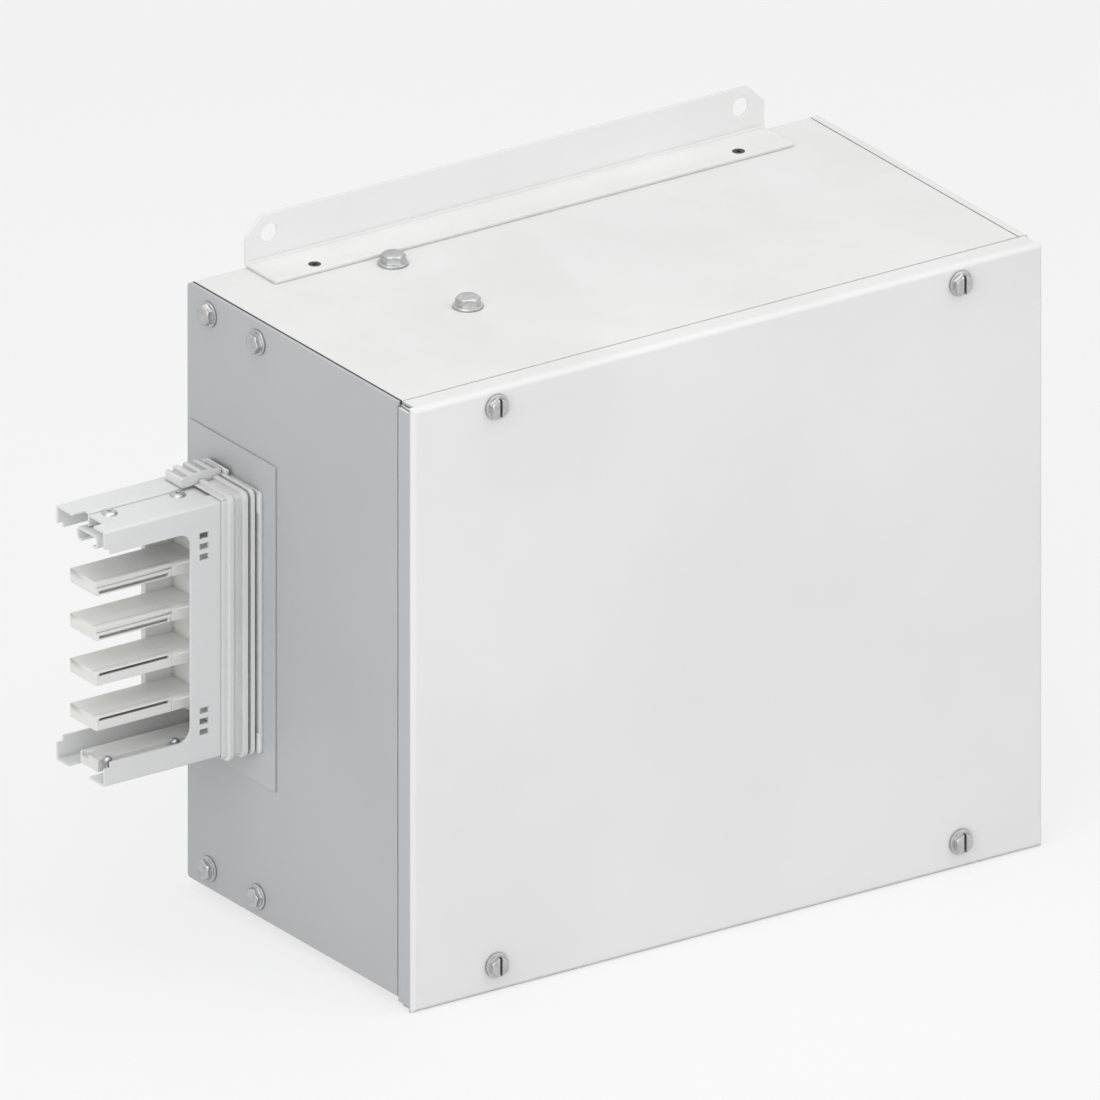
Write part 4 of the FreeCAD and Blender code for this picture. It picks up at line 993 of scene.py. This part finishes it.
# A hexagon's corner radius is this share of its width across flats.
HEXAGON_CORNER = 1 / math.sqrt(3)
for node, aim, flat, bore, height in (
        ("left_plate_nuts", "right", 10.0, 3.05, 5.0), ("right_plate_nuts", "left", 10.0, 3.05, 5.0),
        ("top_nuts", "down", 13.0, 4.05, 6.5), ("terminal_nuts", "up", 13.0, 4.05, 6.5),
        ("earth_nuts", "front", 10.0, 3.05, 5.0)):
    put_rings(node, aim, ring_sizes(flat * HEXAGON_CORNER, bore, height, 0.5, flats_mm=flat))
put_rings("terminal_washers", "up", ring_sizes(8.0, 4.3, 1.6, 0.25))
put_rings("screw_retainers", "front", ring_sizes(5.2, 3.1, 1.3, 0.25))


# %% Rivets
def put_rivets(node, sizes, from_top, finish=None):
    """Rivets on a node's places, with sizes in millimetres."""
    values = {label: size * mm for label, size in sizes.items()}
    run_tree(rivet, node, "up", from_top * mm, {**values, "Scatter": 3.0}, finish)


put_rivets("stub_rivets", {"Head Radius": 4.3, "Head Rise": 1.6, "Sink": 0.0, "Hole Radius": 1.1,
                           "Shank Radius": 2.0, "Length": 9.1, "Tail Radius": 3.0, "Tail Length": 1.5}, 1.6)
put_rivets("bracket_rivets", {"Head Radius": 3.4, "Head Rise": 0.0, "Sink": 2.0, "Hole Radius": 1.1,
                              "Shank Radius": 2.1, "Length": 4.0, "Tail Radius": 3.4, "Tail Length": 1.5},
           0.0, dark_steel)

# %% Small turned pieces that keep the frame's shape
for node, width in (("cover_nuts", 0.15 * mm), ("earth_studs", 0.3 * mm), ("locating_balls", 0.1 * mm)):
    dress(node, width)

# %% [markdown]
# ## Floor, light and camera
# The drawing is a parallel projection, so the camera has no perspective. It looks from the front
# left and a little above. The box stands between a key light and the stub on its left end if that
# light comes from the right, so the main soft box stands on the left. There it also shows the left
# end as the grey paint that it is, and not as shadow.


# %% What pictures show of the backdrop
def seen_rays(tree):
    """1 where the backdrop is seen, also in metal or through the clear guard, and 0 for its light."""
    path = add(tree, "ShaderNodeLightPath")
    seen = out(path, "Is Camera Ray").most(out(path, "Is Glossy Ray"))
    return seen.most(out(path, "Is Transmission Ray"))


# %% Floor
# It lies a hair under the box, keeps the box's shadow, and is whiter in the picture than as a light.
reach = 6.0
floor_gap = 0.1 * mm
floor_glow = 0.7
floor_mesh = bpy.data.meshes.new("floor")
low = cad_box[0].z - floor_gap
floor_mesh.from_pydata([(-reach, -reach, low), (reach, -reach, low), (reach, reach, low),
                        (-reach, reach, low)], [], [(0, 1, 2, 3)])
floor = bpy.data.objects.new("floor", floor_mesh)
bpy.context.scene.collection.objects.link(floor)
floor_paint, tree, skin = start_material("pale floor")
skin.inputs["Base Color"].default_value = (0.8, 0.8, 0.8, 1.0)
skin.inputs["Roughness"].default_value = 0.8
glow = add(tree, "ShaderNodeEmission", {"Color": (1.0, 1.0, 1.0, 1.0), "Strength": 1.0})
paler = add(tree, "ShaderNodeMixShader", {0: seen_rays(tree) * floor_glow, 1: out(skin), 2: out(glow)})
# Seen from below the floor is clear, so that the box's underside can be looked at.
underside = out(add(tree, "ShaderNodeNewGeometry"), "Backfacing")
from_below = underside * out(add(tree, "ShaderNodeLightPath"), "Is Camera Ray")
unseen = add(tree, "ShaderNodeBsdfTransparent")
open_floor = add(tree, "ShaderNodeMixShader", {0: from_below, 1: out(paler), 2: out(unseen)})
feed(next(node for node in tree.nodes if node.type == "OUTPUT_MATERIAL").inputs[0], out(open_floor))
floor_mesh.materials.append(floor_paint)
print("floor at", round(low / mm, 1), "mm")

# %% Room
# The room is white in the picture, and lights the box at half of that.
room_light = 0.5
world = bpy.data.worlds.new("studio")
bpy.context.scene.world = world
world.use_nodes = True
tree = world.node_tree
tree.nodes.clear()
level = seen_rays(tree) * (1.0 - room_light) + room_light
sky = add(tree, "ShaderNodeBackground", {"Color": (1.0, 1.0, 1.0, 1.0), "Strength": level})
add(tree, "ShaderNodeOutputWorld", {0: out(sky)})


# %% Lamps
def lamp(name, place, aim, size, power):
    """A square soft box that points at a place, with its size in metres and its power in watts."""
    data = bpy.data.lights.new(name, "AREA")
    data.size = size
    data.energy = power
    made = bpy.data.objects.new(name, data)
    made.location = place
    made.rotation_euler = (Vector(aim) - Vector(place)).to_track_quat("-Z", "Y").to_euler()
    bpy.context.scene.collection.objects.link(made)


middle = (cad_box[0] + cad_box[1]) / 2
lamp("left", (-2.2, -1.4, 1.0), middle, size=2.4, power=30)
lamp("right", (1.5, -1.7, 1.5), middle, size=2.4, power=15)
lamp("top", (-0.1, -0.3, 1.8), middle, size=2.0, power=13)
print("three lamps point at", [round(side / mm) for side in middle], "mm")

# %% Camera
view_azimuth = math.radians(-34.27)
view_height = math.radians(23.0)
view_width = 0.57904
view_distance = 2.0
view_target = Vector((-0.0418, -0.10525, -0.1711))
back = Vector((math.sin(view_azimuth) * math.cos(view_height),
               -math.cos(view_azimuth) * math.cos(view_height), math.sin(view_height)))
eye = bpy.data.cameras.new("eye")
eye.type = "ORTHO"
eye.ortho_scale = view_width
camera = bpy.data.objects.new("camera", eye)
camera.location = view_target + back * view_distance
camera.rotation_euler = (-back).to_track_quat("-Z", "Y").to_euler()
bpy.context.scene.collection.objects.link(camera)
bpy.context.scene.camera = camera
bpy.context.scene.view_settings.view_transform = "Standard"
print("the camera shows a width of", round(view_width / mm, 1), "mm")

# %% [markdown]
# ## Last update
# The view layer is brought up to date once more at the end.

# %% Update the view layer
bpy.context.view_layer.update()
